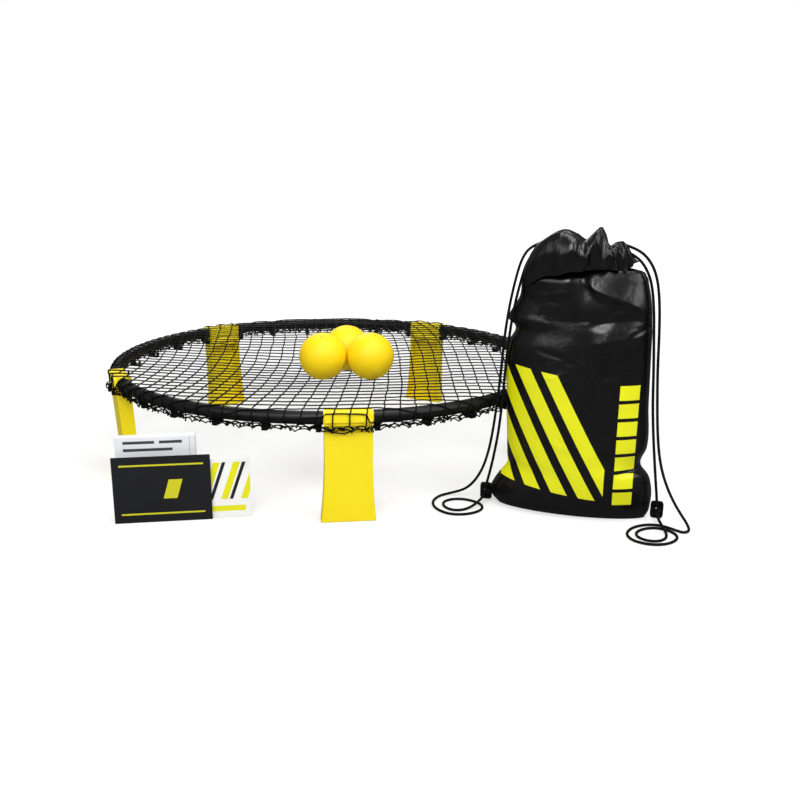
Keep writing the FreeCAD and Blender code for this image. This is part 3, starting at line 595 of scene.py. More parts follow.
def wrapOver(flat, lift):
    # The flat net laid over the ring: level inside, round the tube outside, squarer over a
    # collar, then hanging. Offsets are reach * sin^p and rise * cos^p of the turn.
    distance = np.linalg.norm(flat, axis=1)
    angle = np.arctan2(flat[:, 1], flat[:, 0])
    past = np.maximum(distance - ring["radius"], 0)
    turn = np.minimum(past / net["over"], net["leave"])
    hang = np.maximum(past - net["over"] * net["leave"], 0)
    onBrow = overCollar(angle, 3 * mm)
    browReach, browRise, browPower = net["brow"]
    reach = net["over"] + onBrow * (browReach - net["over"])
    rise = net["over"] + onBrow * (browRise - net["over"])
    power = 1 + onBrow * (browPower - 1)
    radial = np.where(past > 0, ring["radius"] + reach * np.sin(turn) ** power, distance)
    height = np.where(past > 0, ring["axisHeight"] + rise * signedPower(np.cos(turn), power),
                      net["level"])
    height -= net["dip"] * dipShape(flat[:, 0], flat[:, 1] + net["draw"])
    swing = sum(share * np.sin(angle * count + start) for count, start, share in net["swing"])
    radial += hang * (swing - net["tuck"] * (1 - onBrow))
    count, along, share = net["curl"]
    angle = angle + hang / ring["radius"] * share * np.sin(angle * count + past * along)
    least, share, count, start = net["fall"]
    height -= hang * (least + share * np.sin(angle * count + start))
    return roundRing(radial, angle, height + lift)


def netString(family, index):
    # one string of a family, from tail to tail, with a small slack wave in each square
    own, other = net["shift"][family], net["shift"][1 - family]
    if abs(index + own) * net["pitch"][family] > ring["radius"] + net["margin"]:
        return None
    squares = np.arange(-cells * net["perCell"], cells * net["perCell"] + 1) / net["perCell"]
    within = squares - np.floor(squares)
    slack = netDraws.uniform(-1, 1, 2 * cells + 1)[(np.floor(squares) + cells).astype(int)]
    wave = np.sin(within * math.pi) * slack
    side = index + own + wave * net["slack"][0]
    flat = layFlat(squares + other, side) if family else layFlat(side, squares + other)
    tail = netDraws.uniform(*net["tail"])
    inside = np.linalg.norm(flat, axis=1) < ring["radius"] + tail
    if inside.sum() < 4:
        return None
    above = net["apart"] if family else -net["apart"]
    path = wrapOver(flat[inside], above + wave[inside] * net["slack"][1])
    guide = np.tile([0.05, 1.0, 0.02] if family else [1.0, 0.05, 0.02], (len(path), 1))
    return sweepRound(path, guide, net["string"], net["sides"])


# laid nylon twine, two-ply: a fine spiral along the string, black and slightly waxy, with painted
# light on the plies' crowns and painted shade in the groove between them
netMaterial = twistMaterial("laidNylonTwine", net, {"Roughness": 0.65, "Specular IOR Level": 0.15})


def makeKnots():
    # a small eight-cornered bead where two strings cross: a six-cornered belt and two tips
    index = np.arange(-cells, cells + 1)
    across, along = [grid.ravel() for grid in np.meshgrid(index, index)]
    flat = layFlat(across + net["shift"][0], along + net["shift"][1])
    keep = np.linalg.norm(flat, axis=1) < ring["radius"] + net["tail"][0]
    middle = wrapOver(flat[keep], 0)
    turn = np.arange(6) * math.pi / 3
    belt = np.stack([np.cos(turn), np.sin(turn), np.zeros(6)], 1)
    tips = [[0, 0, net["knotFlat"]], [0, 0, -net["knotFlat"]]]
    bead = np.concatenate([belt, tips]) * net["knot"]
    faces = np.array([(k, (k + 1) % 6, 6) for k in range(6)]
                     + [((k + 1) % 6, k, 7) for k in range(6)])
    size = netDraws.uniform(*net["knotSizes"], (len(middle), 1, 1))
    points = (middle[:, None] + bead[None] * size).reshape(-1, 3)
    faces = (faces[None] + 8 * np.arange(len(middle))[:, None, None]).reshape(-1, 3)
    return points, faces.tolist(), np.zeros((faces.size, 2))


fringe = {
    # seed, how far below the tube's centre line, loop size, loops round the ring
    "lines": ((3, 14.0 * mm, 4.6 * mm, 148), (7, 16.5 * mm, 4.2 * mm, 171),
              (9, 18.0 * mm, 3.4 * mm, 119)),
    "perLoop": 12,
    "uneven": (0.4, 1.5),  # a loop's size against the line's own
    "late": 0.8,  # how unevenly the loops follow each other
    "back": (0.5, 0.1, 0.8),  # loops are larger at the back: by how much, from, to
    "stretch": (0.95, 0.7, 0.4),  # a loop along the ring, upwards, and its own place
    "out": (7 * mm, 4 * mm, 11 * mm),  # outside the tube's centre line, its wave, on a collar
    "thin": 0.9,
}


def makeFringe(seed, drop, size, count):
    # the loose edge line of the net: a chain of small loops under the ring, uneven in size
    draws = np.random.default_rng(seed)
    turns = np.linspace(0, 2 * math.pi, count * fringe["perLoop"], endpoint=False)
    loopsAt = np.linspace(0, 2 * math.pi, count + 1)
    uneven, deeper = [
        np.interp(turns, loopsAt, np.resize(draws.uniform(low, high, count), count + 1))
        for low, high in (fringe["uneven"], (-1, 1))]
    phase = turns * count + fringe["late"] * deeper
    more, start, end = fringe["back"]
    uneven = uneven * (1 + more * ease(np.sin(turns), start, end))
    long, tall, place = fringe["stretch"]
    along = turns + size * long * uneven / ring["radius"] * np.sin(phase)
    height = (ring["axisHeight"] - drop
              + size * (uneven * (np.cos(phase) - 0.3) * tall + deeper * place))
    out, sway, onCollar = fringe["out"]
    radial = (ring["radius"] + out + sway * np.sin(phase * 0.5 + seed)
              + overCollar(along, 4 * mm) * onCollar)
    guide = np.stack([np.cos(along), np.sin(along), np.zeros(len(along))], 1)
    return sweepRound(roundRing(radial, along, height), guide, net["string"] * fringe["thin"],
                      net["sides"], loops=True)


strings = [netString(family, index) for family in (0, 1) for index in range(-cells, cells + 1)]
strings = [part for part in strings if part is not None]
points, faces, uv = joinParts(strings + [makeKnots()])
newPiece("net_strings", points, faces, netMaterial, "ring", uv, ["net"])
points, faces, uv = joinParts([makeFringe(*settings) for settings in fringe["lines"]])
newPiece("net_fringe", points, faces, netMaterial, "ring", uv, ())
print("net tied:", len(strings), "strings")

# balls

ball = {
    "diameter": 89 * mm,
    "rows": 64, "columns": 96,
    "seam": 0.18 * mm,  # height of the moulding line round the middle
    "seamWidth": 0.018,  # radians
    "dimple": 0.5 * mm,  # how far the skin sinks round the valve
    "dimpleWidth": 0.085,
    "tilts": ((24, -10), (20, 30), (16, 0)),  # each ball's lean and turn, in degrees
    "dark": "F9D002", "light": "FDD904", "rough": (0.42, 0.55), "broadScale": 14.0,
    "fineScale": 1100.0, "bump": 0.08, "raised": 0.1 * mm,
}


def makeBall(number, material):
    # a sphere whose poles are the valve and its opposite, with a moulding line round the middle
    tilt, turn = [math.radians(value) for value in ball["tilts"][number - 1]]
    rows, columns = ball["rows"], ball["columns"]
    down, around = roundGrid(np.linspace(0, math.pi, rows + 2)[1:-1], columns)
    radius = ball["diameter"] / 2 - ball["dimple"] * np.exp(-(down / ball["dimpleWidth"]) ** 2)
    radius += ball["seam"] * (np.exp(-((down - math.pi / 2) / ball["seamWidth"]) ** 2) - 1)
    points = gridPoints(radius * np.sin(down) * np.cos(around),
                        radius * np.sin(down) * np.sin(around), radius * np.cos(down))
    top = ball["diameter"] / 2 - ball["dimple"] - ball["seam"]
    bottom = -ball["diameter"] / 2 + ball["seam"]
    points = np.concatenate([points, [[0, 0, top], [0, 0, bottom]]])
    faces = [face[::-1] for face in closedFaces(rows, columns)]
    axis = np.array(Matrix.Rotation(turn, 3, "Z") @ Matrix.Rotation(tilt, 3, "X"))
    middle = middleOf("ball_%d" % number)
    newPiece("ball_skin_%d" % number, points @ axis.T + middle, faces, material,
             "ball_%d_body" % number, None, ["ball_%d" % number])


# soft PVC skin, air filled: strong yellow, satin, a little light carried under the surface
ballMaterial = grainMaterial("softVinylSkin", ball, {
    "Specular IOR Level": 0.35, "Subsurface Weight": 0.45, "Subsurface Scale": 12 * mm,
    "Subsurface Radius": (1.0, 0.6, 0.06)})
for number in (1, 2, 3):
    makeBall(number, ballMaterial)
print("balls placed")

# sack

sackShape = {
    # heights and outlines in the sack's own millimetres
    "heights": (0, 12, 25, 42, 60, 80, 94, 128, 205, 300, 330, 341, 354, 380, 407, 422, 430, 436,
                452),
    "left": (-124, -136, -141, -135, -124, -111, -112, -114, -118, -118, -109, -122, -116, -102,
             -99, -96, -94, -92, -80),
    "right": (134, 140, 142, 143, 141, 134, 122, 129, 126, 123, 122, 121, 120, 117, 111, 106, 98,
              72, 60),
    "depthAt": (0, 12, 30, 75, 130, 205, 260, 300, 340, 360, 380, 400, 418, 428, 440, 452),
    "depth": (34, 44, 51, 56, 57, 54, 50, 47, 42, 40, 36, 30, 24, 19, 15, 10),
    "pinch": 1.25,  # how sharply the two faces meet at the side seams
    "calm": 0.6,  # how the folds fade at the side seams
    "upright": 352,  # from here up the left of the front leans back no more
    "uprightTo": (-22, 14),  # across the front it ends between these
    "uprightEnd": (408, 438),  # and up the front between these
    "uprightShare": 0.9,
    "columns": 320, "rows": 230,
    "seed": 21,
    # dark is painted shade in the crinkle's hollows, light is painted light on its ridges
    "dark": "040405", "light": "0A0A0B", "rough": (0.2, 0.27),
}

# Broad folds across the front: the line along the width, how far it stands out, its reach above
# and below, and how softly it ends, all in mm.
frontFolds = (
    (((12, 413), (26, 401), (51, 391), (79, 381), (122, 362)), 11.0, 48, 9, 11),
    (((-70, 350), (-41, 345), (4, 347), (36, 353), (58, 364), (84, 381)), -1.8, 14, 12, 20),
    (((28, 342), (60, 350), (112, 352)), -3.5, 5, 9, 14),
    (((36, 312), (70, 318), (110, 327)), 6.0, 24, 9, 16),
    (((84, 320), (100, 330), (122, 342)), -3.0, 6, 6, 8),
    (((-96, 392), (-60, 386), (-14, 394)), 1.2, 10, 10, 20),
    (((-132, 84), (-112, 78), (-92, 90)), -6.0, 7, 5, 10),
    (((88, 86), (112, 92), (140, 98)), -7.0, 6, 5, 10),
    (((70, 60), (104, 58), (138, 66)), 3.0, 14, 12, 16),
    (((-118, 48), (-80, 34), (-30, 30)), 2.4, 14, 10, 20),
    (((40, 230), (80, 214), (118, 220)), 1.3, 16, 14, 20),
    (((-100, 232), (-40, 250), (30, 236)), 1.1, 18, 14, 24),
)
backFolds = (
    (((-112, 366), (-60, 392), (20, 398), (92, 376)), 7.0, 30, 9, 20),
    (((-90, 300), (-20, 318), (70, 306)), 5.0, 22, 10, 24),
    (((-118, 96), (-60, 110), (10, 96), (96, 120)), 3.5, 24, 12, 24),
    (((-60, 200), (20, 214), (100, 196)), 2.5, 22, 14, 24),
    (((-126, 60), (-104, 72), (-84, 70)), -5.0, 7, 6, 10),
    (((98, 66), (118, 76), (136, 74)), -5.0, 7, 6, 10),
)


def foldRelief(x, z, folds):
    # Sum of depth * exp(-(d / reach)^p), where d is the distance from the fold's line: p is 1.15
    # above it, nearly an even slope, and 2 below it. Each fold fades at its two ends.
    relief = np.zeros_like(x)
    for line, depth, above, below, soft in folds:
        at, height = np.array(line, float).T
        away = z - np.interp(x, at, height)
        part = np.where(away > 0, (np.abs(away) / above) ** 1.15, (away / below) ** 2)
        fade = ease(x, at[0] - soft, at[0] + soft) * (1 - ease(x, at[-1] - soft, at[-1] + soft))
        relief += depth * np.exp(-part) * fade
    return relief


creases = {
    "count": 46,
    "across": (-105, 110), "up": (12, 415),  # where they may lie, in mm
    "lean": (0.4, 0.8), "half": (10, 30),  # usual lean and its spread, half length
    "width": (2.2, 5.0), "depth": (0.25, 0.8),
    "taper": 0.4,  # a crease is full up to here, then fades
}


def smallCreases(x, z, seed):
    # short straight creases anywhere on the cloth: depth * exp(-(distance / width)^2)
    draws = np.random.default_rng(seed)
    relief = np.zeros_like(x)
    for _ in range(creases["count"]):
        x0, z0 = draws.uniform(*creases["across"]), draws.uniform(*creases["up"])
        lean, half = draws.normal(*creases["lean"]), draws.uniform(*creases["half"])
        width = draws.uniform(*creases["width"])
        depth = draws.uniform(*creases["depth"]) * draws.choice((-1, 1))
        along = (x - x0) * math.cos(lean) + (z - z0) * math.sin(lean)
        away = (z - z0) * math.cos(lean) - (x - x0) * math.sin(lean)
        fade = 1 - ease(np.abs(along), half * creases["taper"], half)
        relief += depth * np.exp(-(away / width) ** 2) * fade
    return relief


def sackSkin(around, height):
    # half width * cos and depth * |sin|^pinch round the sack, with folds square to the two faces
    left = smoothTable(height, sackShape["heights"], sackShape["left"])
    right = smoothTable(height, sackShape["heights"], sackShape["right"])
    depth = smoothTable(height, sackShape["depthAt"], sackShape["depth"])
    wave = np.sin(around)
    x = (left + right) / 2 + (right - left) / 2 * np.cos(around)
    y = -np.sign(wave) * depth * np.abs(wave) ** sackShape["pinch"]
    front = foldRelief(x, height, frontFolds) + smallCreases(x, height, sackShape["seed"])
    back = foldRelief(x, height, backFolds) + smallCreases(x, height, sackShape["seed"] + 1)
    # on the left the front stays upright under the hood
    full = np.interp(sackShape["upright"], sackShape["depthAt"], sackShape["depth"])
    front += ((1 - ease(x, *sackShape["uprightTo"])) * np.maximum(full - depth, 0)
              * (height > sackShape["upright"]) * (1 - ease(height, *sackShape["uprightEnd"]))
              * sackShape["uprightShare"])
    y -= np.sign(wave) * np.where(wave > 0, front, back) * np.abs(wave) ** sackShape["calm"]
    return np.stack([x, y, height], -1)


sackPrint = {
    "colour": "DCDD04", "rougher": 0.12,
    # Each line: a name, how it is worked out, and from what: numbers or earlier names. COMPARE
    # takes a middle and a half width. Slanted bands on the left, a column of blocks on the right.
    "lines": (
        ("slant", "MULTIPLY_ADD", "z", 0.55, "x"),
        ("level", "MULTIPLY_ADD", "x", 0.12, "z"),
        ("bandCount", "DIVIDE", "slant", 44 * mm),
        ("bandPart", "FRACT", "bandCount"),
        ("band", "LESS_THAN", "bandPart", 0.6),
        ("bandWide", "COMPARE", "slant", 22 * mm, 110 * mm),
        ("bandTall", "COMPARE", "level", 148 * mm, 104 * mm),
        ("bandLeft", "LESS_THAN", "x", 62 * mm),
        ("blockCount", "DIVIDE", "z", 31 * mm),
        ("blockPart", "FRACT", "blockCount"),
        ("block", "LESS_THAN", "blockPart", 0.8),
        ("blockWide", "COMPARE", "x", 94 * mm, 16 * mm),
        ("blockTall", "COMPARE", "z", 139.5 * mm, 108.5 * mm),
    ),
    "bands": ("band", "bandWide", "bandTall", "bandLeft"),
    "blocks": ("block", "blockWide", "blockTall"),
}


def makeSackMaterial():
    # coated nylon taffeta: black, satin from the coating, crinkled, with painted shade in the
    # crinkle's hollows and painted light on its ridges; a flat yellow screen print on the front of
    # slanted bands and a column of blocks
    material, tree, surface = startMaterial("coatedNylonTaffeta", {"Specular IOR Level": 0.45})
    uv, across = surfaceUv(tree)
    known = {"x": across["X"], "z": across["Y"]}
    for name, operation, *terms in sackPrint["lines"]:
        known[name] = addNode(tree, "Math", {"operation": operation, **{
            k: known.get(term, term) for k, term in enumerate(terms)}})
    printed = addNode(tree, "Math", {
        "operation": "MAXIMUM", 0: allOf(tree, [known[name] for name in sackPrint["bands"]]),
        1: allOf(tree, [known[name] for name in sackPrint["blocks"]])})
    crinkle = addNode(tree, "TexNoise", {
        "Scale": 42.0, "Detail": 5.0, "Roughness": 0.62, "Distortion": 0.8,
        "Vector": addNode(tree, "TexCoord").outputs["Object"]})
    # painted shade and light: the colour follows the crinkle's height like the bump, darker in its
    # hollows and lighter on its ridges
    tint = addNode(tree, "ValToRGB", {
        "stops": ((0.35, sackShape["dark"]), (0.65, sackShape["light"])), "Fac": crinkle})
    ink = addNode(tree, "Mix", {
        "data_type": "RGBA", 0: printed, 6: tint, 7: hexColour(sackPrint["colour"])})
    gloss = addNode(tree, "MapRange", {
        "To Min": sackShape["rough"][0], "To Max": sackShape["rough"][1], "Value": crinkle})
    matt = addNode(tree, "Math", {
        "operation": "MULTIPLY_ADD", 0: printed, 1: sackPrint["rougher"], 2: gloss})
    # plain weave, about 0.35 mm a thread, drawn at 1.2 mm so that it can show
    weave = addNode(tree, "TexWave", {
        "Scale": 2 * math.pi / (20 * 1.2 * mm), "wave_type": "BANDS",
        "bands_direction": "DIAGONAL", "Vector": uv})
    fine = addNode(tree, "Bump", {
        "Strength": 0.08, "Distance": 0.1 * mm, "Height": weave.outputs["Fac"]})
    rough = addNode(tree, "Bump", {
        "Strength": 0.55, "Distance": 1.6 * mm, "Height": crinkle, "Normal": fine})
    setNode(tree, surface, {"Base Color": ink.outputs[2], "Roughness": matt, "Normal": rough})
    return material


def makeSack(material):
    # the skin, closed at floor and throat; the back's part of the UV map lies a metre away
    rows, columns = sackShape["rows"], sackShape["columns"]
    top = sackShape["heights"][-1]
    height, around = roundGrid(top * np.linspace(0, 1, rows), columns)
    skin = sackSkin(around, height)
    ends = np.array([[skin[0, :, 0].mean(), 0, 0.0], [skin[-1, :, 0].mean(), 0, top]])
    points = np.concatenate([skin.reshape(-1, 3), ends])
    faces = closedFaces(rows, columns)
    back = np.concatenate([(np.sin(around) < -0.02).ravel(), [False, False]])
    flat = points[:, [0, 2]] * mm - np.outer(back, (1.0, 0.0))
    corners = np.concatenate([np.ravel(face) for face in faces])
    piece = newPiece("sack_body", fromSack(points), faces, material, "bag", flat[corners],
                     ["bag_body"])


def clothUv(row, column, rows, columns, start, width, height):
    # a strip of the cloth's pattern away from the print, in metres
    return np.stack([column / columns * width + start, row / rows * height], 2).reshape(-1, 2)


ruffle = {
    # outline of the gathered mouth in the sack's own millimetres: the top, then the lower edge
    "at": (-97, -92, -84, -66, -46, -26, -12, 2, 16, 30, 40, 49, 62, 76, 84, 90),
    "top": (436, 452, 466, 482, 490, 491, 485, 476, 488, 498, 488, 470, 476, 475, 456, 446),
    "edgeAt": (-97, -90, -72, -47, -20, 9, 42, 60, 72, 82, 90),
    "edge": (404, 400, 412, 420, 426, 431, 433, 431, 428, 438, 446),
    "ends": (-97, 90),
    "bulge": (46, 50, 26),  # how far the front stands out at the left end, middle and right
    # from the throat to the lower edge: its width, then its height and its reach
    "sizeAt": (0, 0.25, 0.5, 0.75, 1), "size": (0.45, 0.78, 0.93, 1.0, 1.0),
    "pathAt": (0, 0.22, 0.42, 0.7, 1),
    "rise": (0.35, 0.86, 1.0, 0.62, 0.0), "out": (0.12, 0.4, 0.68, 1.0, 0.92),
    "pleatsFrom": (-18, 22), "calm": 0.15,  # smooth on the left, pleated on the right
    "pleats": 7, "turns": (11, 34), "bend": 9,
    "deep": 6.5, "sunk": 2.5, "raised": 0.8, "sideways": 2.2,  # mm that a pleat moves the cloth
    "softCreases": ((1.2, 0.16, 4), (2.2, 0.11, 5)),  # the hood's: height, then depth
    "columns": 420, "rows": 56,
    "seed": 5,
    "cloth": 0.8,
}


def crumple(around, v, draws):
    # Sharp irregular pleats: sum of share * (1 - 2 |sin|), each bent a little on its way down.
    # The turns are even, so that the pattern closes at the seam.
    total = np.zeros_like(v)
    for _ in range(ruffle["pleats"]):
        turns = draws.integers(*ruffle["turns"]) // 2 * 2
        bend = draws.uniform(-ruffle["bend"], ruffle["bend"])
        phase = draws.uniform(0, math.pi)
        total += ((1 - 2 * np.abs(np.sin((turns * around + bend * v) / 2 + phase)))
                  * (24 / (turns + 10)))
    return total / ruffle["pleats"] ** 0.5


def makeRuffle(material):
    # The gathered mouth: from the throat up over a crest and down outside to the lower edge. It is
    # a smooth hood on the left and thrown into sharp pleats on the right.
    columns, rows = ruffle["columns"], ruffle["rows"]
    v, around = roundGrid(np.linspace(0, 1, rows), columns)
    left, right = ruffle["ends"]
    size = smoothTable(v, ruffle["sizeAt"], ruffle["size"])
    side, wave = np.cos(around), np.sin(around)
    x = (left + right) / 2 + (right - left) / 2 * size * side
    pleated = ease(x, *ruffle["pleatsFrom"]) * (1 - ruffle["calm"]) + ruffle["calm"]
    fold = crumple(around, v, np.random.default_rng(ruffle["seed"])) * pleated
    top = smoothTable(x / np.maximum(size, 0.6), ruffle["at"], ruffle["top"])
    edge = smoothTable(x, ruffle["edgeAt"], ruffle["edge"])
    rise = smoothTable(v, ruffle["pathAt"], ruffle["rise"])
    out = smoothTable(v, ruffle["pathAt"], ruffle["out"])
    bulge = smoothTable(side, (-1, 0, 1), ruffle["bulge"])
    y = -bulge * out * signedPower(wave, 0.8)
    y -= fold * ruffle["deep"] * signedPower(wave, 0.5) * (0.5 + 0.5 * out)
    z = (edge + (top - edge) * rise - np.abs(fold) * ruffle["sunk"] * np.sin(v * math.pi)
         + fold * ruffle["raised"] * v)
    x = x + fold * ruffle["sideways"] * (0.4 + v)
    (high, wide, late), (deep, widest, latest) = ruffle["softCreases"]
    z = z + (1 - pleated) * high * np.sin(x * wide + v * late)
    y = y - (1 - pleated) * deep * np.sin(x * widest + v * latest) * wave
    grid, row, column = gridFaces(rows, columns, True)
    uv = clothUv(row, column, rows, columns, 2.0, 0.5, 0.09)
    piece = newPiece("sack_ruffle", fromSack(gridPoints(x, y, z)), grid[:, ::-1].tolist(),
                     material, "bag", uv, ())
    addWall(piece, ruffle["cloth"])


tab = {
    "width": 22, "height": 32, "thickness": 1.4,
    "hole": 4.6,  # radius
    "round": 0.42,  # how square the outline is: 0 square, 1 an ellipse
    "stitch": (0.35, 0.86, 0.05),  # its height, place and width, the last two as shares
    "cupped": (0.25, 0.4, 0.2, 0.3),  # depth and wave across, then upwards
    "rows": 14, "columns": 72,
}


def makeTab(side, material):
    # a plate between the eyelet's hole and a rounded outline, a little cupped
    rows, columns = tab["rows"], tab["columns"]
    out, around = roundGrid(np.linspace(0, 1, rows), columns)
    edgeX = tab["width"] / 2 * signedPower(np.cos(around), tab["round"])
    edgeZ = tab["height"] / 2 * signedPower(np.sin(around), tab["round"])
    x = (1 - out) * tab["hole"] * np.cos(around) + out * edgeX
    z = (1 - out) * tab["hole"] * np.sin(around) + out * edgeZ
    high, inset, width = tab["stitch"]
    across, waveX, upwards, waveZ = tab["cupped"]
    y = (across * np.sin(x * waveX) + upwards * np.sin(z * waveZ)
         + high * np.exp(-((out - inset) / width) ** 2))
    place = gridPoints(x, y, z) * mm @ sackTurn.T + middleOf("bag_tab_" + side)
    grid, row, column = gridFaces(rows, columns, True)
    uv = clothUv(row, column, rows, columns, 3.0, 0.05, 0.02)
    piece = newPiece("corner_tab_" + side, place,
                     grid.tolist(), material, "bag", uv, ["bag_tab_" + side])
    addWall(piece, tab["thickness"])


sackMaterial = makeSackMaterial()
makeSack(sackMaterial)
makeRuffle(sackMaterial)
for side in ("left", "right"):
    makeTab(side, sackMaterial)
print("sack sewn")

# paper pieces

paperTurn = turned(math.radians(1.7))

papers = {
    # Blocks of ink: left, right, low, high in mm, how far each leans, and its colour.
    # laminated card: black, satin
    "title_card": {
        "slot": "title_card", "material": "laminatedCard",
        "width": 163, "height": 118, "thickness": 1.2,
        "corner": 1.5, "bow": 0.0,
        "dark": "0E0F12", "light": "131418", "rough": (0.42, 0.55), "broadScale": 12.0,
        "fineScale": 2200.0, "bump": 0.05, "raised": 0.03 * mm,
        "blocks": [(12, 151, 101, 104, 0.0, "C9C40C"), (12, 151, 14, 17, 0.0, "C9C40C"),
                   (70, 93, 42, 76, 0.3, "C9C40C")],
    },
    # cast vinyl: white, smooth
    "sticker": {
        "slot": "sticker", "material": "vinylSticker",
        "width": 105, "height": 107, "thickness": 0.6, "corner": 3.0, "bow": 0.6,
        "dark": "E9E9E6", "light": "F3F3F1", "rough": (0.3, 0.4), "broadScale": 12.0,
        "fineScale": 2000.0, "bump": 0.03, "raised": 0.02 * mm,
        "blocks": [(8 + 34 * k, 20 + 34 * k, 34, 101, 0.35, "E2DF06") for k in (-1, 0, 1, 2)]
        + [(23 + 34 * k, 29 + 34 * k, 34, 101, 0.35, "1A1B1E") for k in (-1, 0, 1)]
        + [(10, 96, 12, 22, 0.0, "E2DF06")],
    },
    # uncoated paper: white, dull; two leaves of one sheet, joined by a half turn
    "instruction_leaflet": {
        "slot": "leaflet", "material": "uncoatedPaper",
        "width": 135, "height": 150, "thickness": 0.6,
        "front": 0.4, "back": 2.0,  # where the two leaves start at the fold
        "spread": 4.6, "curve": 1.15,  # how far the back leaf opens, and how it curves
        "start": 1.5, "foldAt": (1.3, 1.2), "fold": 0.8,
        "wave": (0.35, 0.045, 0.03), "least": 0.35,
        "deep": 10,  # from the front to the node's far side
        "printTo": 30, "blank": 400,  # columns past here take their UV from beyond the print
        "columns": 22, "bends": 9, "rows": 30,
        "dark": "DDDEE4", "light": "E7E8EC", "rough": (0.7, 0.85), "broadScale": 15.0,
        "fineScale": 1500.0, "bump": 0.08, "raised": 0.04 * mm,
        "blocks": [(14, 66, 134, 139, 0.0, "3A3B40"), (74, 112, 134, 139, 0.0, "3A3B40"),
                   (14, 96, 121, 126, 0.0, "3A3B40"), (124, 125, 4, 146, 0.0, "A6A8B0")],
    },
}


def printedMaterial(look):
    # a sheet with plain blocks of ink: one test across, leaned, and one upwards for each
    material, tree, surface = startMaterial(look["material"], {"IOR": 1.5})
    uv, across = surfaceUv(tree)
    shown = addGrain(tree, surface, uv, look)
    for left, right, low, high, lean, ink in look["blocks"]:
        slid = addNode(tree, "Math", {
            "operation": "MULTIPLY_ADD", 0: across["Y"], 1: -lean, 2: across["X"]})
        tests = [addNode(tree, "Math", {
            "operation": "COMPARE", 0: value, 1: (first + last) / 2 * mm,
            2: (last - first) / 2 * mm})
            for value, first, last in ((slid, left, right), (across["Y"], low, high))]
        shown = addNode(tree, "Mix", {
            "data_type": "RGBA", 0: allOf(tree, tests), 6: shown, 7: hexColour(ink)}).outputs[2]
    setNode(tree, surface, {"Base Color": shown})
    return material


def edged(size, corner, count):
    # places from edge to edge, closer together at the two corners
    near = np.linspace(0, 1, 7) * corner / size
    return np.unique(np.concatenate([np.linspace(0, 1, count), 1 - near, near])) * size


def roundedSheet(look):
    # a grid from edge to edge whose four corners are drawn in to a radius, bowed a little
    width, height, corner = look["width"], look["height"], look["corner"]
    side, tall = edged(width, corner, 25), edged(height, corner, 19)
    z, x = np.meshgrid(tall, side, indexing="ij")
    dx = np.maximum(np.abs(x - width / 2) - (width / 2 - corner), 0) * np.sign(x - width / 2)
    dz = np.maximum(np.abs(z - height / 2) - (height / 2 - corner), 0) * np.sign(z - height / 2)
    far = np.hypot(dx, dz)
    pull = np.where(far > corner, 1 - corner / np.maximum(far, 1e-9), 0)
    x, z = x - dx * pull, z - dz * pull
    y = look["bow"] * np.sin(x / width * math.pi) * (z / height) + look["thickness"] / 2
    faces, _, _ = gridFaces(len(tall), len(side), False)
    points = gridPoints(x, y, z)
    return points, faces, points[:, [0, 2]]


def foldedSheet(look):
    # the plan of two leaves and the half turn between them, carried straight up
    leaf = np.linspace(look["width"], look["start"], look["columns"])
    front = np.stack([leaf, np.full(len(leaf), look["front"])], 1)
    bend = np.linspace(-math.pi / 2, -3 * math.pi / 2, look["bends"])[1:-1]
    fold = look["fold"] * np.stack([np.cos(bend), np.sin(bend)], 1) + look["foldAt"]
    leaf = leaf[::-1]
    opened = look["back"] + look["spread"] * (leaf / look["width"]) ** look["curve"]
    plan = np.concatenate([front, fold, np.stack([leaf, opened], 1)])
    z, k = np.meshgrid(np.linspace(0, look["height"], look["rows"]), np.arange(len(plan)),
                       indexing="ij")
    z, k = z.ravel(), k.ravel()
    x, y = plan[k].T
    deep, waveX, waveZ = look["wave"]
    y = np.maximum(y + deep * np.sin(x * waveX) * np.sin(z * waveZ), look["least"])
    faces, _, _ = gridFaces(look["rows"], len(plan), False)
    uv = np.stack([x + np.where(k > look["printTo"], look["blank"], 0), z], 1)
    return gridPoints(x, y, z), faces, uv


def makePaper(name, look):
    # the sheet turned, with its low left corner where the node's is
    points, faces, uv = foldedSheet(look) if "fold" in look else roundedSheet(look)
    low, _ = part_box(name)
    deep = look.get("deep", look["thickness"]) * mm
    corner = np.array([low[0] + deep * paperTurn[1, 0], low[1], 0])
    piece = newPiece(look["slot"] + "_sheet", points * mm @ paperTurn.T + corner, faces.tolist(),
                     printedMaterial(look), name + "_body", uv[faces.ravel()] * mm, [name])
    addWall(piece, look["thickness"])


for name, look in papers.items():
    makePaper(name, look)
print("papers printed")

# floor and light

studio = {
    "floor": 8.0,
    "under": 0.3 * mm,
    "floorColour": "C4C4C4",
    "floorGlow": 0.44,  # seen by the camera only, so that the floor comes out white
    "glowFull": (1.0, 3.0),  # from here to there out from the middle the glow rises to 1
    "floorMirror": 0.25,  # how much of the floor's colour black gloss shows
    "world": 0.32,  # what the object is lit by
    "mirrored": 0.22,  # what gloss and clear pieces show
    "lamps": (
        # power, size, place, target
        ("topLamp", 38.0, 1.6, (0.5, -0.7, 2.6), (0.1, 0, 0.1)),
        ("frontLamp", 36.0, 1.2, (-0.5, -2.3, 2.1), (0.2, -0.2, 0.2)),
        ("leftLamp", 22.0, 1.8, (-2.1, -2.3, 1.7), (0, 0, 0.15)),
        ("rightLamp", 30.0, 1.6, (2.2, -2.2, 1.9), (0.1, 0, 0.15)),
        ("backLamp", 20.0, 1.6, (-0.4, 2.4, 2.2), (0, 0, 0.15)),
    ),
}


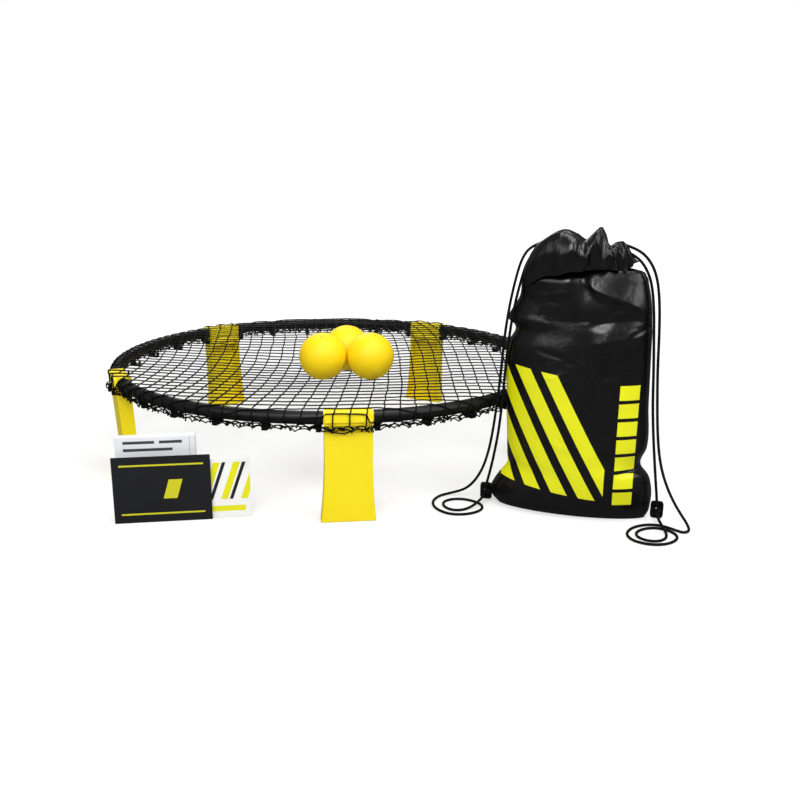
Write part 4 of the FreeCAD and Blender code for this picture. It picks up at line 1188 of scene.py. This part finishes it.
def makeFloor():
    # painted studio floor: the camera sees it as white, and it keeps the soft shadows
    size, low = studio["floor"], -studio["under"]
    mesh = bpy.data.meshes.new("floor")
    mesh.from_pydata([(-size, -size, low), (size, -size, low), (size, size, low),
                      (-size, size, low)], [], [(0, 1, 2, 3)])
    floor = bpy.data.objects.new("floor", mesh)
    bpy.context.scene.collection.objects.link(floor)
    material, tree, surface = startMaterial("paintedFloor", {
        "Roughness": 0.9, "Specular IOR Level": 0.0})
    path = addNode(tree, "LightPath").outputs
    shade = hexColour(studio["floorColour"])
    dim = tuple(value * studio["floorMirror"] for value in shade[:3]) + (1,)
    tint = addNode(tree, "Mix", {"data_type": "RGBA", 0: path["Is Glossy Ray"], 6: shade, 7: dim})
    away = addNode(tree, "VectorMath", {
        "operation": "LENGTH", 0: addNode(tree, "TexCoord").outputs["Object"]})
    glowing = addNode(tree, "MapRange", {
        "From Min": studio["glowFull"][0], "From Max": studio["glowFull"][1],
        "To Min": studio["floorGlow"], "To Max": 1.0, "Value": away.outputs["Value"]})
    strength = addNode(tree, "Math", {
        "operation": "MULTIPLY", 0: path["Is Camera Ray"], 1: glowing})
    glow = addNode(tree, "Emission", {"Strength": strength})
    both = addNode(tree, "AddShader", {0: surface, 1: glow})
    output = next(node for node in tree.nodes if node.type == "OUTPUT_MATERIAL")
    setNode(tree, surface, {"Base Color": tint.outputs[2]})
    setNode(tree, output, {"Surface": both})
    mesh.materials.append(material)


def makeWorld():
    # strength: world + (mirrored - world) * (glossy or clear ray), and 1 for the camera
    world = bpy.data.worlds.new("studioWorld")
    bpy.context.scene.world = world
    world.use_nodes = True
    tree = world.node_tree
    tree.nodes.clear()
    path = addNode(tree, "LightPath").outputs
    shown = addNode(tree, "Math", {
        "operation": "MAXIMUM", 0: path["Is Glossy Ray"], 1: path["Is Transmission Ray"]})
    dimmed = addNode(tree, "MapRange", {
        "To Min": studio["world"], "To Max": studio["mirrored"], "Value": shown})
    strength = addNode(tree, "Math", {
        "operation": "MAXIMUM", 0: dimmed, 1: path["Is Camera Ray"]})
    light = addNode(tree, "Background", {"Color": (1, 1, 1, 1), "Strength": strength})
    addNode(tree, "OutputWorld", {"Surface": light})


def addLamp(name, power, size, place, target):
    # a square lamp turned from its place to its target
    data = bpy.data.lights.new(name, "AREA")
    data.energy = power
    data.size = size
    lamp = bpy.data.objects.new(name, data)
    lamp.location = place
    lamp.rotation_euler = (Vector(target) - Vector(place)).to_track_quat("-Z", "Y").to_euler()
    bpy.context.scene.collection.objects.link(lamp)


makeFloor()
makeWorld()
for settings in studio["lamps"]:
    addLamp(*settings)
bpy.context.scene.view_settings.view_transform = "Standard"
print("studio lit")
